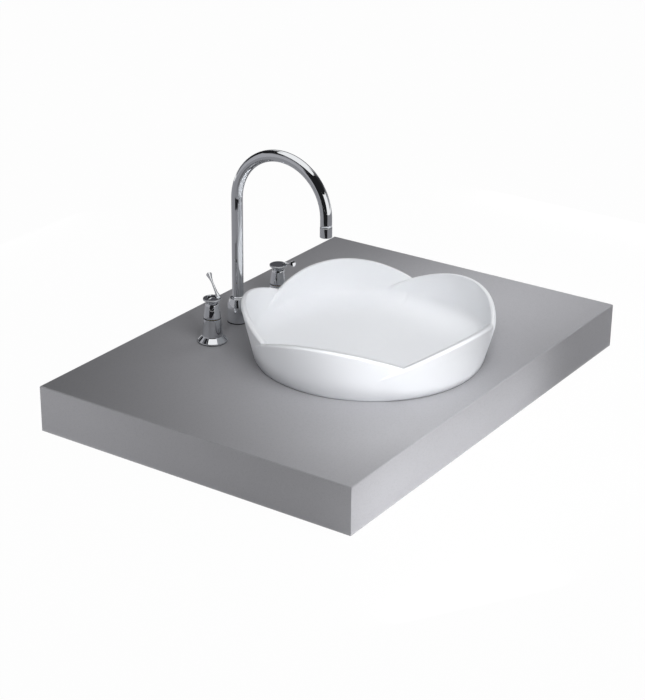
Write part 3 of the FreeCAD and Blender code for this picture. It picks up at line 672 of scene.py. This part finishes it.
    def dish(self, wall_foot: float) -> list[Point]:
        """Give the line from the wall's foot down to the bore.

        Args:
            wall_foot: the inside radius where the wall ends and the dish starts.

        Returns:
            The dish's curve, the floor, the flange seat and the bore, without its foot.
        """
        start = Vector((wall_foot, self.dish_height))
        end = Vector((self.flat_radius, self.floor + self.floor_fall))
        drop = (start.y - end.y) * self.wall_pull
        first = start - Vector((math.tan(math.radians(self.flare)), 1)) * drop
        last = end + Vector((first.x - end.x, self.floor_rise)) * self.floor_pull
        curve: list[Point] = []
        for i in range(1, self.dish_rows + 1):
            s = i / self.dish_rows
            point = (start * (1 - s) ** 3 + first * 3 * s * (1 - s) ** 2
                     + last * 3 * s * s * (1 - s) + end * s ** 3)
            curve.append(tuple(point))
        brim = self.seat_radius + self.brim
        run = [(self.flat_radius + (brim - self.flat_radius) * i / self.floor_rows,
                self.floor + self.floor_fall * (1 - i / self.floor_rows))
               for i in range(1, self.floor_rows)]
        mouth = eased([
            (brim, self.floor, 0),
            (self.seat_radius, self.floor, self.seat_edge),
            (self.seat_radius, self.seat_height, self.seat_round),
            (self.bore_radius, self.seat_height, self.bore_round),
            (self.bore_radius, 0, 0),
        ], closed=False)
        return curve + run + mouth[:-1]

    def under(self) -> list[Point]:
        """Give the underside of the shell.

        Returns:
            Its line from the bore to the foot.
        """
        return eased([
            (self.bore_radius, 0, 0),
            (self.pad_radius, 0, self.under_round),
            (self.pad_radius, self.recess, self.under_round),
            (self.foot_inside, self.recess, self.under_round),
            (self.foot_inside, 0, self.under_round),
            (self.foot_radius - self.foot_round, 0, 0),
        ], closed=False)

    def build(self) -> None:
        """Make the shell and its bead of sealant."""
        points: list[Vector] = []
        count = 0
        for k in range(self.columns):
            angle = 360 * (k + 0.5) / self.columns
            turn = (angle + self.span / 2) % self.span - self.span / 2
            outline = self.section(turn)
            count = len(outline)
            around = math.radians(self.first_petal + angle)
            points.extend(Vector((self.x + r * math.cos(around),
                                  self.y + r * math.sin(around), self.z + h)) for r, h in outline)
        faces: list[list[int]] = []
        for k in range(self.columns):
            here, there = k * count, (k + 1) % self.columns * count
            faces.extend([here + i, there + i, there + (i + 1) % count, here + (i + 1) % count]
                         for i in range(count))
        shell = make_mesh("petal_basin", points, faces)
        self.stand_in(shell, "basin", "counter", GLAZED_CHINA, "ceramic")
        self.keep("basin_seal", SILICONE)


@dataclass
class Waste(Assembly):
    """The click waste under the bowl's floor, and its china plug."""

    x: float = -7.5
    y: float = -59.0
    cap_base: float = 95.0
    cap_radius: float = 32.0
    cap_edge: float = 3.0
    cap_dome: float = 0.2
    cap_round: float = 0.1
    cap_under_round: float = 0.4
    cap_side_round: float = 0.6
    dome_steps: int = 12
    stem_socket: float = 3.05

    def build(self) -> None:
        """Make the plug's cap and dress the rest."""
        dome = (self.cap_radius ** 2 + self.cap_dome ** 2) / (2 * self.cap_dome)
        edge = self.cap_edge / 2
        outline = eased([
            (self.stem_socket, 0, 0),
            (self.cap_radius - edge, 0, self.cap_under_round),
            (self.cap_radius, edge, self.cap_side_round),
            (self.cap_radius, self.cap_edge - self.cap_round, 0),
        ], closed=False)
        brim = (self.cap_radius - self.cap_round, self.cap_edge)
        outline += arc(outline[-1], brim, self.cap_round, ROUND_STEPS)
        outline += arc(brim, (0, self.cap_edge + self.cap_dome), dome, self.dome_steps)
        outline += [(0, self.cap_edge), (self.stem_socket, self.cap_edge)]
        cap = lathe("china_plug_cap", outline)
        move(cap, self.x, self.y, self.cap_base)
        self.stand_in(cap, "plug_cap", "plug", GLAZED_CHINA, "ceramic")
        self.keep("waste_body", CHROME_PLATE)
        for node in ("waste_flange_seal", "waste_grommet", "plug_seal"):
            self.keep(node, NITRILE)
        self.keep("waste_nut", TURNED_BRASS)
        self.keep("waste_washer", STAINLESS)
        self.keep("plug_stem", STAINLESS)
        self.keep("click_cartridge", ACETAL)


@dataclass
class Spout(Assembly):
    """The gooseneck on its bell shaped base."""

    x: float = -24.0
    y: float = 201.0
    deck: float = 80.0
    # 0.1 mm under the solid's radius, so that the bend's crown stays inside the solid's box.
    tube: float = 9.9
    tube_wall: float = 1.5
    foot: float = 8.0
    spring: float = 225.0
    bend: float = 91.2
    nozzle_bottom: float = 194.5
    nozzle_length: float = 18.0
    nozzle_radius: float = 10.3
    base_radius: float = 19.0
    base_height: float = 45.0
    base_shoulder: float = 22.0
    base_neck: float = 13.5
    base_bore: float = 14.05
    lip_height: float = 35.4
    gasket: float = 1.5
    collar_radius: float = 11.8
    collar_height: float = 2.2
    gap: float = 0.3
    base_round: float = 0.6
    # The share of the collar's height that stands straight.
    collar_side: float = 0.6
    collar_foot_round: float = 0.3
    collar_side_round: float = 0.5
    collar_top_round: float = 0.2
    nozzle_lip_round: float = 0.2
    nozzle_end_round: float = 0.9
    nozzle_top_round: float = 0.3
    # The groove's edges, measured down from the nozzle's top, and its depth into the tube.
    groove_foot: float = 1.2
    groove_top: float = 0.9
    groove_depth: float = 0.1
    around: int = 96
    riser_steps: int = 12
    bend_steps: int = 216
    drop_steps: int = 3
    bell_steps: int = 14

    def neck(self) -> bpy.types.Object:
        """Sweep the bent tube.

        Returns:
            The tube, hollow to its ends.
        """
        path: list[tuple[Vector, Vector]] = []
        top = self.deck + self.spring
        foot = self.deck + self.foot
        end = self.deck + self.nozzle_bottom + self.nozzle_length
        for i in range(self.riser_steps + 1):
            height = foot + (top - foot) * i / self.riser_steps
            path.append((Vector((self.x, self.y, height)), Vector((0, 1, 0))))
        for i in range(1, self.bend_steps + 1):
            swing = math.pi * i / self.bend_steps
            out = Vector((0, math.cos(swing), math.sin(swing)))
            path.append((Vector((self.x, self.y - self.bend, top)) + out * self.bend, out))
        for i in range(1, self.drop_steps + 1):
            height = top + (end - top) * i / self.drop_steps
            path.append((Vector((self.x, self.y - 2 * self.bend, height)), Vector((0, -1, 0))))
        points: list[Vector] = []
        rows: list[int] = []
        across = Vector((1, 0, 0))
        turns = [2 * math.pi * k / self.around for k in range(self.around)]
        for radius, order in ((self.tube, path), (self.tube - self.tube_wall, path[::-1])):
            for middle, out in order:
                rows.append(len(points))
                points.extend(middle + (out * math.cos(a) + across * math.sin(a)) * radius
                              for a in turns)
        faces: list[list[int]] = []
        for i, row in enumerate(rows):
            following = rows[(i + 1) % len(rows)]
            for k in range(self.around):
                after = (k + 1) % self.around
                faces.append([row + k, following + k, following + after, row + after])
        return make_mesh("gooseneck_tube", points, faces)

    def base(self) -> bpy.types.Object:
        """Turn the bell shaped base.

        Returns:
            The base, standing on its gasket.
        """
        rise = self.base_height - self.base_shoulder
        inset = self.base_radius - self.base_neck
        bell = (rise * rise + inset * inset) / (2 * inset)
        shoulder = (self.base_radius, self.base_shoulder - self.gasket)
        crown = (self.base_neck, self.base_height - self.gasket)
        lip = self.lip_height - self.gasket
        mouth = self.tube + self.gap
        toe = (self.base_radius - self.base_round, 0.0)
        outline = [(self.base_bore, 0.0), toe]
        outline += arc(toe, (self.base_radius, self.base_round), self.base_round, ROUND_STEPS)
        outline += [shoulder] + arc(shoulder, crown, bell, self.bell_steps)
        outline += [(mouth, crown[1]), (mouth, lip), (self.base_bore, lip)]
        piece = lathe("spout_bell_base", outline)
        move(piece, self.x, self.y, self.deck + self.gasket)
        return piece

    def collar(self) -> bpy.types.Object:
        """Turn the ring that closes the base round the tube.

        Returns:
            The ring, in place over the base.
        """
        piece = lathe("spout_ring", eased([
            (self.tube, 0, 0),
            (self.collar_radius, 0, self.collar_foot_round),
            (self.collar_radius, self.collar_height * self.collar_side, self.collar_side_round),
            (self.tube + self.gap, self.collar_height, self.collar_top_round),
            (self.tube, self.collar_height, 0),
        ]))
        move(piece, self.x, self.y, self.deck + self.base_height + self.gap)
        return piece

    def nozzle(self) -> bpy.types.Object:
        """Turn the nozzle, with the fine groove where it screws on.

        Returns:
            The nozzle, in place on the tube's end.
        """
        lip = self.tube_wall
        neck = self.tube - self.groove_depth
        cup = self.nozzle_radius - lip / 2
        piece = lathe("spout_outlet_nozzle", eased([
            (cup - lip, 0, self.nozzle_lip_round),
            (self.nozzle_radius, 0, self.nozzle_end_round),
            (self.nozzle_radius, self.nozzle_length - self.groove_foot, self.nozzle_top_round),
            (neck, self.nozzle_length - self.groove_top, 0),
            (neck, self.nozzle_length, 0),
            (self.tube - lip, self.nozzle_length, 0),
            (self.tube - lip, self.nozzle_length - lip, 0),
            (cup, self.nozzle_length - lip, 0),
            (cup, lip, 0),
            (cup - lip, lip, 0),
        ]))
        move(piece, self.x, self.y - 2 * self.bend, self.deck + self.nozzle_bottom)
        return piece

    def build(self) -> None:
        """Make the plated pieces and dress the rest."""
        for piece, node, body in (
            (self.neck(), "spout_tube", "spout"),
            (self.base(), "spout_base", "counter"),
            (self.collar(), "spout_collar", "spout"),
            (self.nozzle(), "spout_nozzle", "spout"),
        ):
            self.stand_in(piece, node, body, CHROME_PLATE, "chrome")
        for node in ("spout_gasket", "spout_lower_oring", "spout_upper_oring", "aerator_seal"):
            self.keep(node, NITRILE)
        for node in ("spout_shank", "spout_nut", "spout_tee"):
            self.keep(node, TURNED_BRASS)
        for node in ("spout_clip", "spout_washer"):
            self.keep(node, STAINLESS)
        for node in ("spout_thrust_washer", "spout_bush", "aerator_insert"):
            self.keep(node, ACETAL)


class Side(Enum):
    """The two valves.

    Each has its prefix, its place along the wall in millimetres, its lever's heading in degrees,
    and the hand of the bell's axis on which the rod stands.
    """

    HOT = ("hot", -120.0, 53.5, 1)
    COLD = ("cold", 72.0, 231.0, -1)


@dataclass
class Valve(Assembly):
    """A quarter turn valve's escutcheon and lever."""

    side: Side = Side.HOT
    y: float = 183.5
    deck: float = 80.0
    gasket: float = 1.5
    skirt_radius: float = 25.5
    skirt_rim: float = 2.0
    skirt_cone: float = 8.0
    skirt_inside: float = 19.3
    skirt_inside_height: float = 3.3
    body_foot: float = 17.6
    body_top: float = 15.2
    body_height: float = 42.5
    body_wall: float = 2.0
    bell_gap: float = 1.5
    bell_radius: float = 14.6
    bell_side: float = 300.0
    bell_dome: float = 9.5
    shoulder_radius: float = 11.8
    shoulder_height: float = 64.3
    neck_radius: float = 5.5
    neck_height: float = 73.0
    hollow_radius: float = 11.0
    hollow_height: float = 8.0
    socket_radius: float = 4.05
    socket_top: float = 62.3
    cap_radius: float = 15.5
    cap_thick: float = 3.0
    cap_height: float = 79.0
    rod_offset: float = 11.0
    rod_rise: float = 21.0
    rod_length: float = 59.0
    rod_root: float = 2.6
    rod_waist: float = 1.8
    rod_tip: float = 5.0
    rod_flare: float = 24.0
    rod_round: float = 0.45
    boss_radius: float = 3.8
    boss_length: float = 9.0
    spigot_radius: float = 1.6
    spigot_length: float = 5.0
    # How far the rod's line starts under the cap's top.
    rod_depth: float = 1.0
    skirt_foot_round: float = 0.4
    skirt_rim_round: float = 0.6
    skirt_cove: float = 2.2
    body_round: float = 0.5
    body_inside_round: float = 0.3
    bell_round: float = 0.5
    cap_under_round: float = 0.5
    cap_top_round: float = 0.9
    boss_foot_round: float = 0.3
    boss_end_round: float = 0.5
    side_steps: int = 10
    dome_steps: int = 12
    flare_steps: int = 14
    crown_steps: int = 8
    rod_columns: int = 48

    @property
    def prefix(self) -> str:
        """Give the start of this valve's names."""
        return self.side.value[0]

    def escutcheon(self) -> bpy.types.Object:
        """Turn the skirted shroud over the valve.

        Returns:
            The shroud, standing on the origin.
        """
        foot = self.skirt_rim + self.skirt_cone
        top = self.body_height - self.gasket
        outline = eased([
            (self.skirt_inside, 0, 0),
            (self.skirt_radius, 0, self.skirt_foot_round),
            (self.skirt_radius, self.skirt_rim, self.skirt_rim_round),
            (self.body_foot, foot, self.skirt_cove),
            (self.body_top, top, self.body_round),
            (self.body_top - self.body_wall, top, self.body_inside_round),
            (self.body_foot - self.body_wall, foot, 0),
            (self.skirt_inside, self.skirt_inside_height, 0),
        ])
        return lathe(f"{self.prefix}_skirted_shroud", outline)

    def head(self) -> bpy.types.Object:
        """Turn the bullet shaped bell with its disc cap.

        Returns:
            The lever's head, over the origin.
        """
        low = self.body_height + self.bell_gap
        side_foot = (self.bell_radius, low + self.bell_gap)
        shoulder = (self.shoulder_radius, self.shoulder_height)
        neck = (self.neck_radius, self.neck_height)
        ease = self.bell_round
        outline = [(self.hollow_radius, low), (self.bell_radius - ease, low)]
        outline += arc(outline[-1], (self.bell_radius, low + ease), ease, ROUND_STEPS)
        outline += [side_foot] + arc(side_foot, shoulder, self.bell_side, self.side_steps)
        outline += arc(shoulder, neck, self.bell_dome, self.dome_steps)
        rim = self.cap_height - self.cap_thick
        outline += eased([
            (neck[0], neck[1], 0),
            (self.cap_radius, rim, self.cap_under_round),
            (self.cap_radius, self.cap_height, self.cap_top_round),
            (0, self.cap_height, 0),
        ], closed=False)[1:]
        outline += [(0, self.socket_top), (self.socket_radius, self.socket_top),
                    (self.socket_radius, low + self.hollow_height),
                    (self.hollow_radius, low + self.hollow_height)]
        return lathe(f"{self.prefix}_bell_and_cap", outline)

    def rod(self) -> bpy.types.Object:
        """Turn the trumpet shaped rod with its domed end.

        Returns:
            The rod, upright on the origin.
        """
        length = self.rod_length - self.boss_length + self.spigot_length
        flare_foot = (self.rod_waist, length - self.rod_flare)
        widen = self.rod_tip - self.rod_waist
        curve = (self.rod_flare ** 2 + widen ** 2) / (2 * widen)
        outline = [(0.0, 0.0), (self.spigot_radius, 0.0), (self.spigot_radius, self.spigot_length),
                   (self.rod_root, self.spigot_length), flare_foot]
        outline += arc(flare_foot, (self.rod_tip, length), -curve, self.flare_steps)
        rim = (self.rod_tip - self.rod_round, length + self.rod_round)
        crown = (rim[0] ** 2 + self.rod_round ** 2) / (2 * self.rod_round)
        outline += arc((self.rod_tip, length), rim, self.rod_round, ROUND_STEPS)
        outline += arc(rim, (0.0, length + 2 * self.rod_round), crown, self.crown_steps)
        return lathe(f"{self.prefix}_lever_rod_trumpet", outline, closed=False,
                     steps=self.rod_columns)

    def boss(self) -> bpy.types.Object:
        """Turn the short sleeve on the cap that takes the rod.

        Returns:
            The sleeve, upright on the origin.
        """
        return lathe(f"{self.prefix}_rod_sleeve", eased([
            (0, 0, 0),
            (self.boss_radius, 0, self.boss_foot_round),
            (self.boss_radius, self.boss_length, self.boss_end_round),
            (0, self.boss_length, 0),
        ], closed=False), closed=False, steps=self.rod_columns)

    def lay(self, thing: bpy.types.Object, forward: float) -> None:
        """Lay a turned piece along the rod's line, which runs beside the bell's axis.

        Args:
            thing: the piece, upright on the origin.
            forward: how far along the line its foot lies, from the line's foot on the cap.
        """
        x, heading, hand = self.side.value[1:]
        yaw = Matrix.Rotation(math.radians(heading), 3, "Z")
        pitch = Matrix.Rotation(math.radians(90 - self.rod_rise), 3, "Y")
        rise = math.radians(self.rod_rise)
        foot = yaw @ Vector((forward * math.cos(rise), -hand * self.rod_offset, 0))
        height = self.deck + self.cap_height - self.rod_depth + forward * math.sin(rise)
        move(thing, x + foot.x, self.y + foot.y, height, yaw @ pitch)

    def build(self) -> None:
        """Make the plated pieces and dress the rest."""
        x = self.side.value[1]
        lever = f"{self.prefix}_lever"
        shroud, head, sleeve, rod = self.escutcheon(), self.head(), self.boss(), self.rod()
        move(shroud, x, self.y, self.deck + self.gasket)
        move(head, x, self.y, self.deck)
        self.lay(sleeve, 0)
        self.lay(rod, self.boss_length - self.spigot_length)
        for piece, node, body in (
            (shroud, "escutcheon", "counter"),
            (head, "lever_head", lever),
            (sleeve, "lever_head", lever),
            (rod, "lever_rod", lever),
        ):
            self.stand_in(piece, f"{self.prefix}_{node}", body, CHROME_PLATE, "chrome")
        self.keep(f"{self.prefix}_gasket", NITRILE)
        for part in ("valve_body", "cartridge", "spindle", "nut", "pipe_nuts"):
            self.keep(f"{self.prefix}_{part}", TURNED_BRASS)
        for part in ("lever_screw", "washer"):
            self.keep(f"{self.prefix}_{part}", STAINLESS)
        self.keep(f"{self.prefix}_pipe", COPPER)


@dataclass(frozen=True)
class Lamp:
    """A soft light with its size in metres, its power in watts and its beam in degrees."""

    name: str
    place: Place
    aim: Place
    width: float
    height: float
    watts: float
    spread: float = 180.0

    def hang(self) -> None:
        """Hang the light so that it faces its aim and isn't mirrored itself."""
        data = bpy.data.lights.new(self.name, "AREA")
        data.shape = "RECTANGLE"
        data.size = self.width
        data.size_y = self.height
        data.energy = self.watts
        data.spread = math.radians(self.spread)
        thing = add_object(self.name, data)
        thing.location = self.place
        thing.rotation_mode = "QUATERNION"
        facing = Vector(self.aim) - Vector(self.place)
        thing.rotation_quaternion = facing.to_track_quat("-Z", "Y")
        thing.visible_camera = False
        thing.visible_glossy = False


@dataclass(frozen=True)
class Card:
    """A curved card round the tap that only polished surfaces show.

    It sweeps between two compass angles in degrees. Its near and far edges are each a distance
    from the tap and a height, in metres.
    """

    name: str
    sweep: Point
    near: Point
    far: Point
    shade: str
    middle: Place = (-0.024, 0.19, 0.0)
    steps: int = 24

    def stand(self) -> None:
        """Make the card, hidden from all rays but those that polished surfaces reflect."""
        first, last = self.sweep
        turns = [math.radians(first + (last - first) * i / self.steps)
                 for i in range(self.steps + 1)]
        points = [Vector(self.middle) + Vector((r * math.cos(a), r * math.sin(a), z))
                  for a in turns for r, z in (self.near, self.far)]
        faces = [[2 * i, 2 * i + 1, 2 * i + 3, 2 * i + 2] for i in range(self.steps)]
        mesh = bpy.data.meshes.new(self.name)
        mesh.from_pydata([tuple(p) for p in points], [], faces)
        thing = add_object(self.name, mesh)
        thing.visible_camera = False
        thing.visible_diffuse = False
        thing.visible_shadow = False
        thing.visible_transmission = False
        material = blank_material(self.name)
        tree = material.node_tree
        glow = add_node(tree, "ShaderNodeEmission", {"Color": linear(self.shade), "Strength": 1.0})
        add_node(tree, "ShaderNodeOutputMaterial", {"Surface": glow.outputs["Emission"]})
        mesh.materials.append(material)


# How far from the tap the cards stand, and the heights at which most of them meet.
REACH = 1.95
GROUND = 0.01
SILL = 0.15
EAVES = 1.09
RIDGE = 1.62
HIGH = 2.80
TOP = 3.15
# Where a card on the floor starts, and how high it lies.
MAT_START = 0.12
MAT_HEIGHT = 0.004


def wall(name: str, sweep: Point, low: float, high: float, shade: str) -> Card:
    """Give a card that stands from one height to another."""
    return Card(name, sweep, (REACH, low), (REACH, high), shade)


def mat(name: str, sweep: Point, shade: str, start: float = MAT_START,
        height: float = MAT_HEIGHT) -> Card:
    """Give a card that lies level, from a distance out to the others."""
    return Card(name, sweep, (start, height), (REACH, height), shade)


LAMPS = (
    # The main light on the front of the counter, and two that lift the near side of the bowl.
    Lamp("front_light", (-0.30, -0.45, 0.55), (-0.15, -0.25, 0.08), 0.3, 0.3, 1.68),
    Lamp("near_light", (-0.40, -0.45, 0.25), (-0.17, -0.17, 0.13), 0.15, 0.1, 0.036, 60),
    Lamp("low_front_light", (-0.15, -0.50, 0.28), (-0.12, -0.28, 0.06), 0.25, 0.15, 0.15),
    # The sides and the back of the top, and the inside of the bowl.
    Lamp("left_light", (-0.60, -0.60, 0.75), (0.05, 0.00, 0.13), 0.3, 0.2, 0.28, 45),
    Lamp("right_front_light", (0.66, -0.52, 0.33), (0.25, -0.15, 0.10), 0.3, 0.3, 0.75),
    Lamp("right_light", (0.60, 0.05, 0.80), (0.30, 0.05, 0.08), 0.4, 0.4, 1.0),
    Lamp("far_light", (0.50, -0.10, 0.88), (0.36, -0.12, 0.08), 0.3, 0.3, 0.28, 45),
    Lamp("bowl_light", (-0.60, 0.00, 1.10), (-0.04, 0.03, 0.12), 0.3, 0.3, 0.08, 35),
    Lamp("back_light", (0.10, 1.00, 0.35), (0.0, 0.0, 0.12), 0.5, 0.2, 0.08),
    # Low lights for the deep edge, all the way round.
    Lamp("end_light", (-1.00, 0.40, 0.035), (-0.43, 0.25, 0.035), 0.6, 0.06, 1.85),
    Lamp("edge_light", (-0.48, -0.55, 0.035), (-0.32, -0.30, 0.035), 0.25, 0.06, 0.36),
    Lamp("front_edge_light", (-0.14, -0.60, 0.030), (-0.14, -0.30, 0.022), 0.6, 0.05, 0.17, 50),
    Lamp("rear_edge_light", (0.0, 0.95, 0.035), (0.0, 0.30, 0.035), 0.8, 0.06, 0.35),
    Lamp("far_end_light", (1.05, 0.0, 0.035), (0.43, 0.0, 0.035), 0.6, 0.06, 1.2),
)
CARDS = (
    wall("black_wall", (182, 302), EAVES, HIGH, "202022"),
    wall("black_post", (175, 245), GROUND, EAVES, "1e1e20"),
    wall("right_wall", (302, 345), SILL, 0.80, "9a9a9e"),
    wall("black_right", (302, 342), 0.80, 2.60, "2e2e30"),
    wall("dark_back", (342, 412), SILL, 1.13, "505054"),
    wall("back_right", (342, 412), 1.13, 1.60, "a0a0a4"),
    wall("black_back", (412, 458), 0.64, TOP, "1e1e20"),
    wall("black_back_high", (458, 478), RIDGE, TOP, "1e1e20"),
    wall("black_left_high", (478, 505), 2.0, TOP, "1e1e20"),
    wall("low_back", (412, 458), SILL, 0.64, "68686c"),
    wall("left_wall", (458, 535), GROUND, EAVES, "a8a8ac"),
    wall("left_middle", (458, 542), EAVES, RIDGE, "a8a8ac"),
    wall("left_high", (478, 505), RIDGE, 2.0, "707074"),
    wall("left_corner", (505, 542), RIDGE, HIGH, "707074"),
    mat("outer_roof", (490, 662), "202022", 1.75, HIGH),
    mat("black_floor", (175, 245), "202022", 0.80, 0.006),
    mat("front_floor", (175, 345), "8a8a8e"),
    mat("left_floor", (480, 535), "909094"),
    mat("right_floor", (345, 390), "a0a0a4"),
    mat("back_floor", (390, 480), "98989c"),
)


@dataclass
class Studio:
    """The camera, the pale floor and the white backdrop, with the lights and the cards."""

    lens: float = 95.37
    camera_place: Place = (-2.410, -1.584, 1.342)
    camera_back: Place = (-0.7585, -0.5109, 0.4045)
    camera_roll: float = 0.604
    ambient: float = 0.18
    floor_half: float = 6.0
    floor_drop: float = 0.0005
    floor_tone: str = "f4f4f4"
    # How much of the floor that the camera sees is plain white; the rest keeps the shadow.
    floor_white: float = 0.98

    def build(self) -> None:
        """Set up the whole studio."""
        scene = bpy.context.scene
        scene.view_settings.view_transform = "Standard"
        self.camera(scene)
        self.world(scene)
        self.floor()
        for lamp in LAMPS:
            lamp.hang()
        for card in CARDS:
            card.stand()

    def camera(self, scene: bpy.types.Scene) -> None:
        """Stand the camera where the picture was taken.

        Args:
            scene: the scene that it films.
        """
        data = bpy.data.cameras.new("camera")
        data.lens = self.lens
        thing = add_object("camera", data)
        thing.rotation_mode = "QUATERNION"
        thing.location = self.camera_place
        aim = (-Vector(self.camera_back)).to_track_quat("-Z", "Y")
        thing.rotation_quaternion = aim @ Quaternion((0, 0, 1), math.radians(self.camera_roll))
        scene.camera = thing

    def seen(self, tree: bpy.types.NodeTree) -> bpy.types.NodeSocket:
        """Tell the rays that end in the picture from those that only light the object.

        Args:
            tree: the nodes of the floor or the world.

        Returns:
            1 for rays from the camera, or reflected or passed on to it, and 0 for the rest.
        """
        path = add_node(tree, "ShaderNodeLightPath").outputs
        shiny = add_node(tree, "ShaderNodeMath", {
            0: path["Is Camera Ray"], 1: path["Is Glossy Ray"]}, operation="MAXIMUM")
        both = add_node(tree, "ShaderNodeMath", {
            0: shiny.outputs["Value"], 1: path["Is Transmission Ray"]}, operation="MAXIMUM")
        return both.outputs["Value"]

    def world(self, scene: bpy.types.Scene) -> None:
        """Make a backdrop that is seen as white and lights more gently.

        Args:
            scene: the scene that it surrounds.
        """
        world = bpy.data.worlds.new("white_studio")
        world.use_nodes = True
        scene.world = world
        tree = world.node_tree
        tree.nodes.clear()
        strength = add_node(tree, "ShaderNodeMapRange", {
            "Value": self.seen(tree), "To Min": self.ambient, "To Max": 1.0}).outputs["Result"]
        light = add_node(tree, "ShaderNodeBackground", {
            "Color": linear(WHITE), "Strength": strength})
        add_node(tree, "ShaderNodeOutputWorld", {"Surface": light.outputs["Background"]})

    def floor(self) -> None:
        """Lay the pale floor, white to the camera but for a faint shadow."""
        half = self.floor_half
        corners = [(-half, -half, 0), (half, -half, 0), (half, half, 0), (-half, half, 0)]
        mesh = bpy.data.meshes.new("floor")
        mesh.from_pydata(corners, [], [(0, 1, 2, 3)])
        thing = add_object("floor", mesh)
        thing.location.z = -self.floor_drop
        material = blank_material("pale_floor")
        tree = material.node_tree
        matt = add_node(tree, "ShaderNodeBsdfDiffuse", {"Color": linear(self.floor_tone)})
        glow = add_node(tree, "ShaderNodeEmission", {"Color": linear(WHITE), "Strength": 1.0})
        share = add_node(tree, "ShaderNodeMath", {
            0: self.seen(tree), 1: self.floor_white}, operation="MULTIPLY")
        mix = add_node(tree, "ShaderNodeMixShader", {
            "Fac": share.outputs["Value"], 1: matt.outputs["BSDF"], 2: glow.outputs["Emission"]})
        add_node(tree, "ShaderNodeOutputMaterial", {"Surface": mix.outputs["Shader"]})
        mesh.materials.append(material)


def main() -> None:
    """Build every assembly in order."""
    logging.basicConfig(level=logging.INFO, format="%(message)s")
    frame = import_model()
    finishes = {finish.name: finish.build() for finish in FINISHES}
    nodes = frame["nodes"]
    Counter(nodes, finishes).build()
    PetalBasin(nodes, finishes).build()
    Waste(nodes, finishes).build()
    Spout(nodes, finishes).build()
    for side in Side:
        Valve(nodes, finishes, side=side).build()
    Studio().build()


if __name__ == "__main__":
    main()
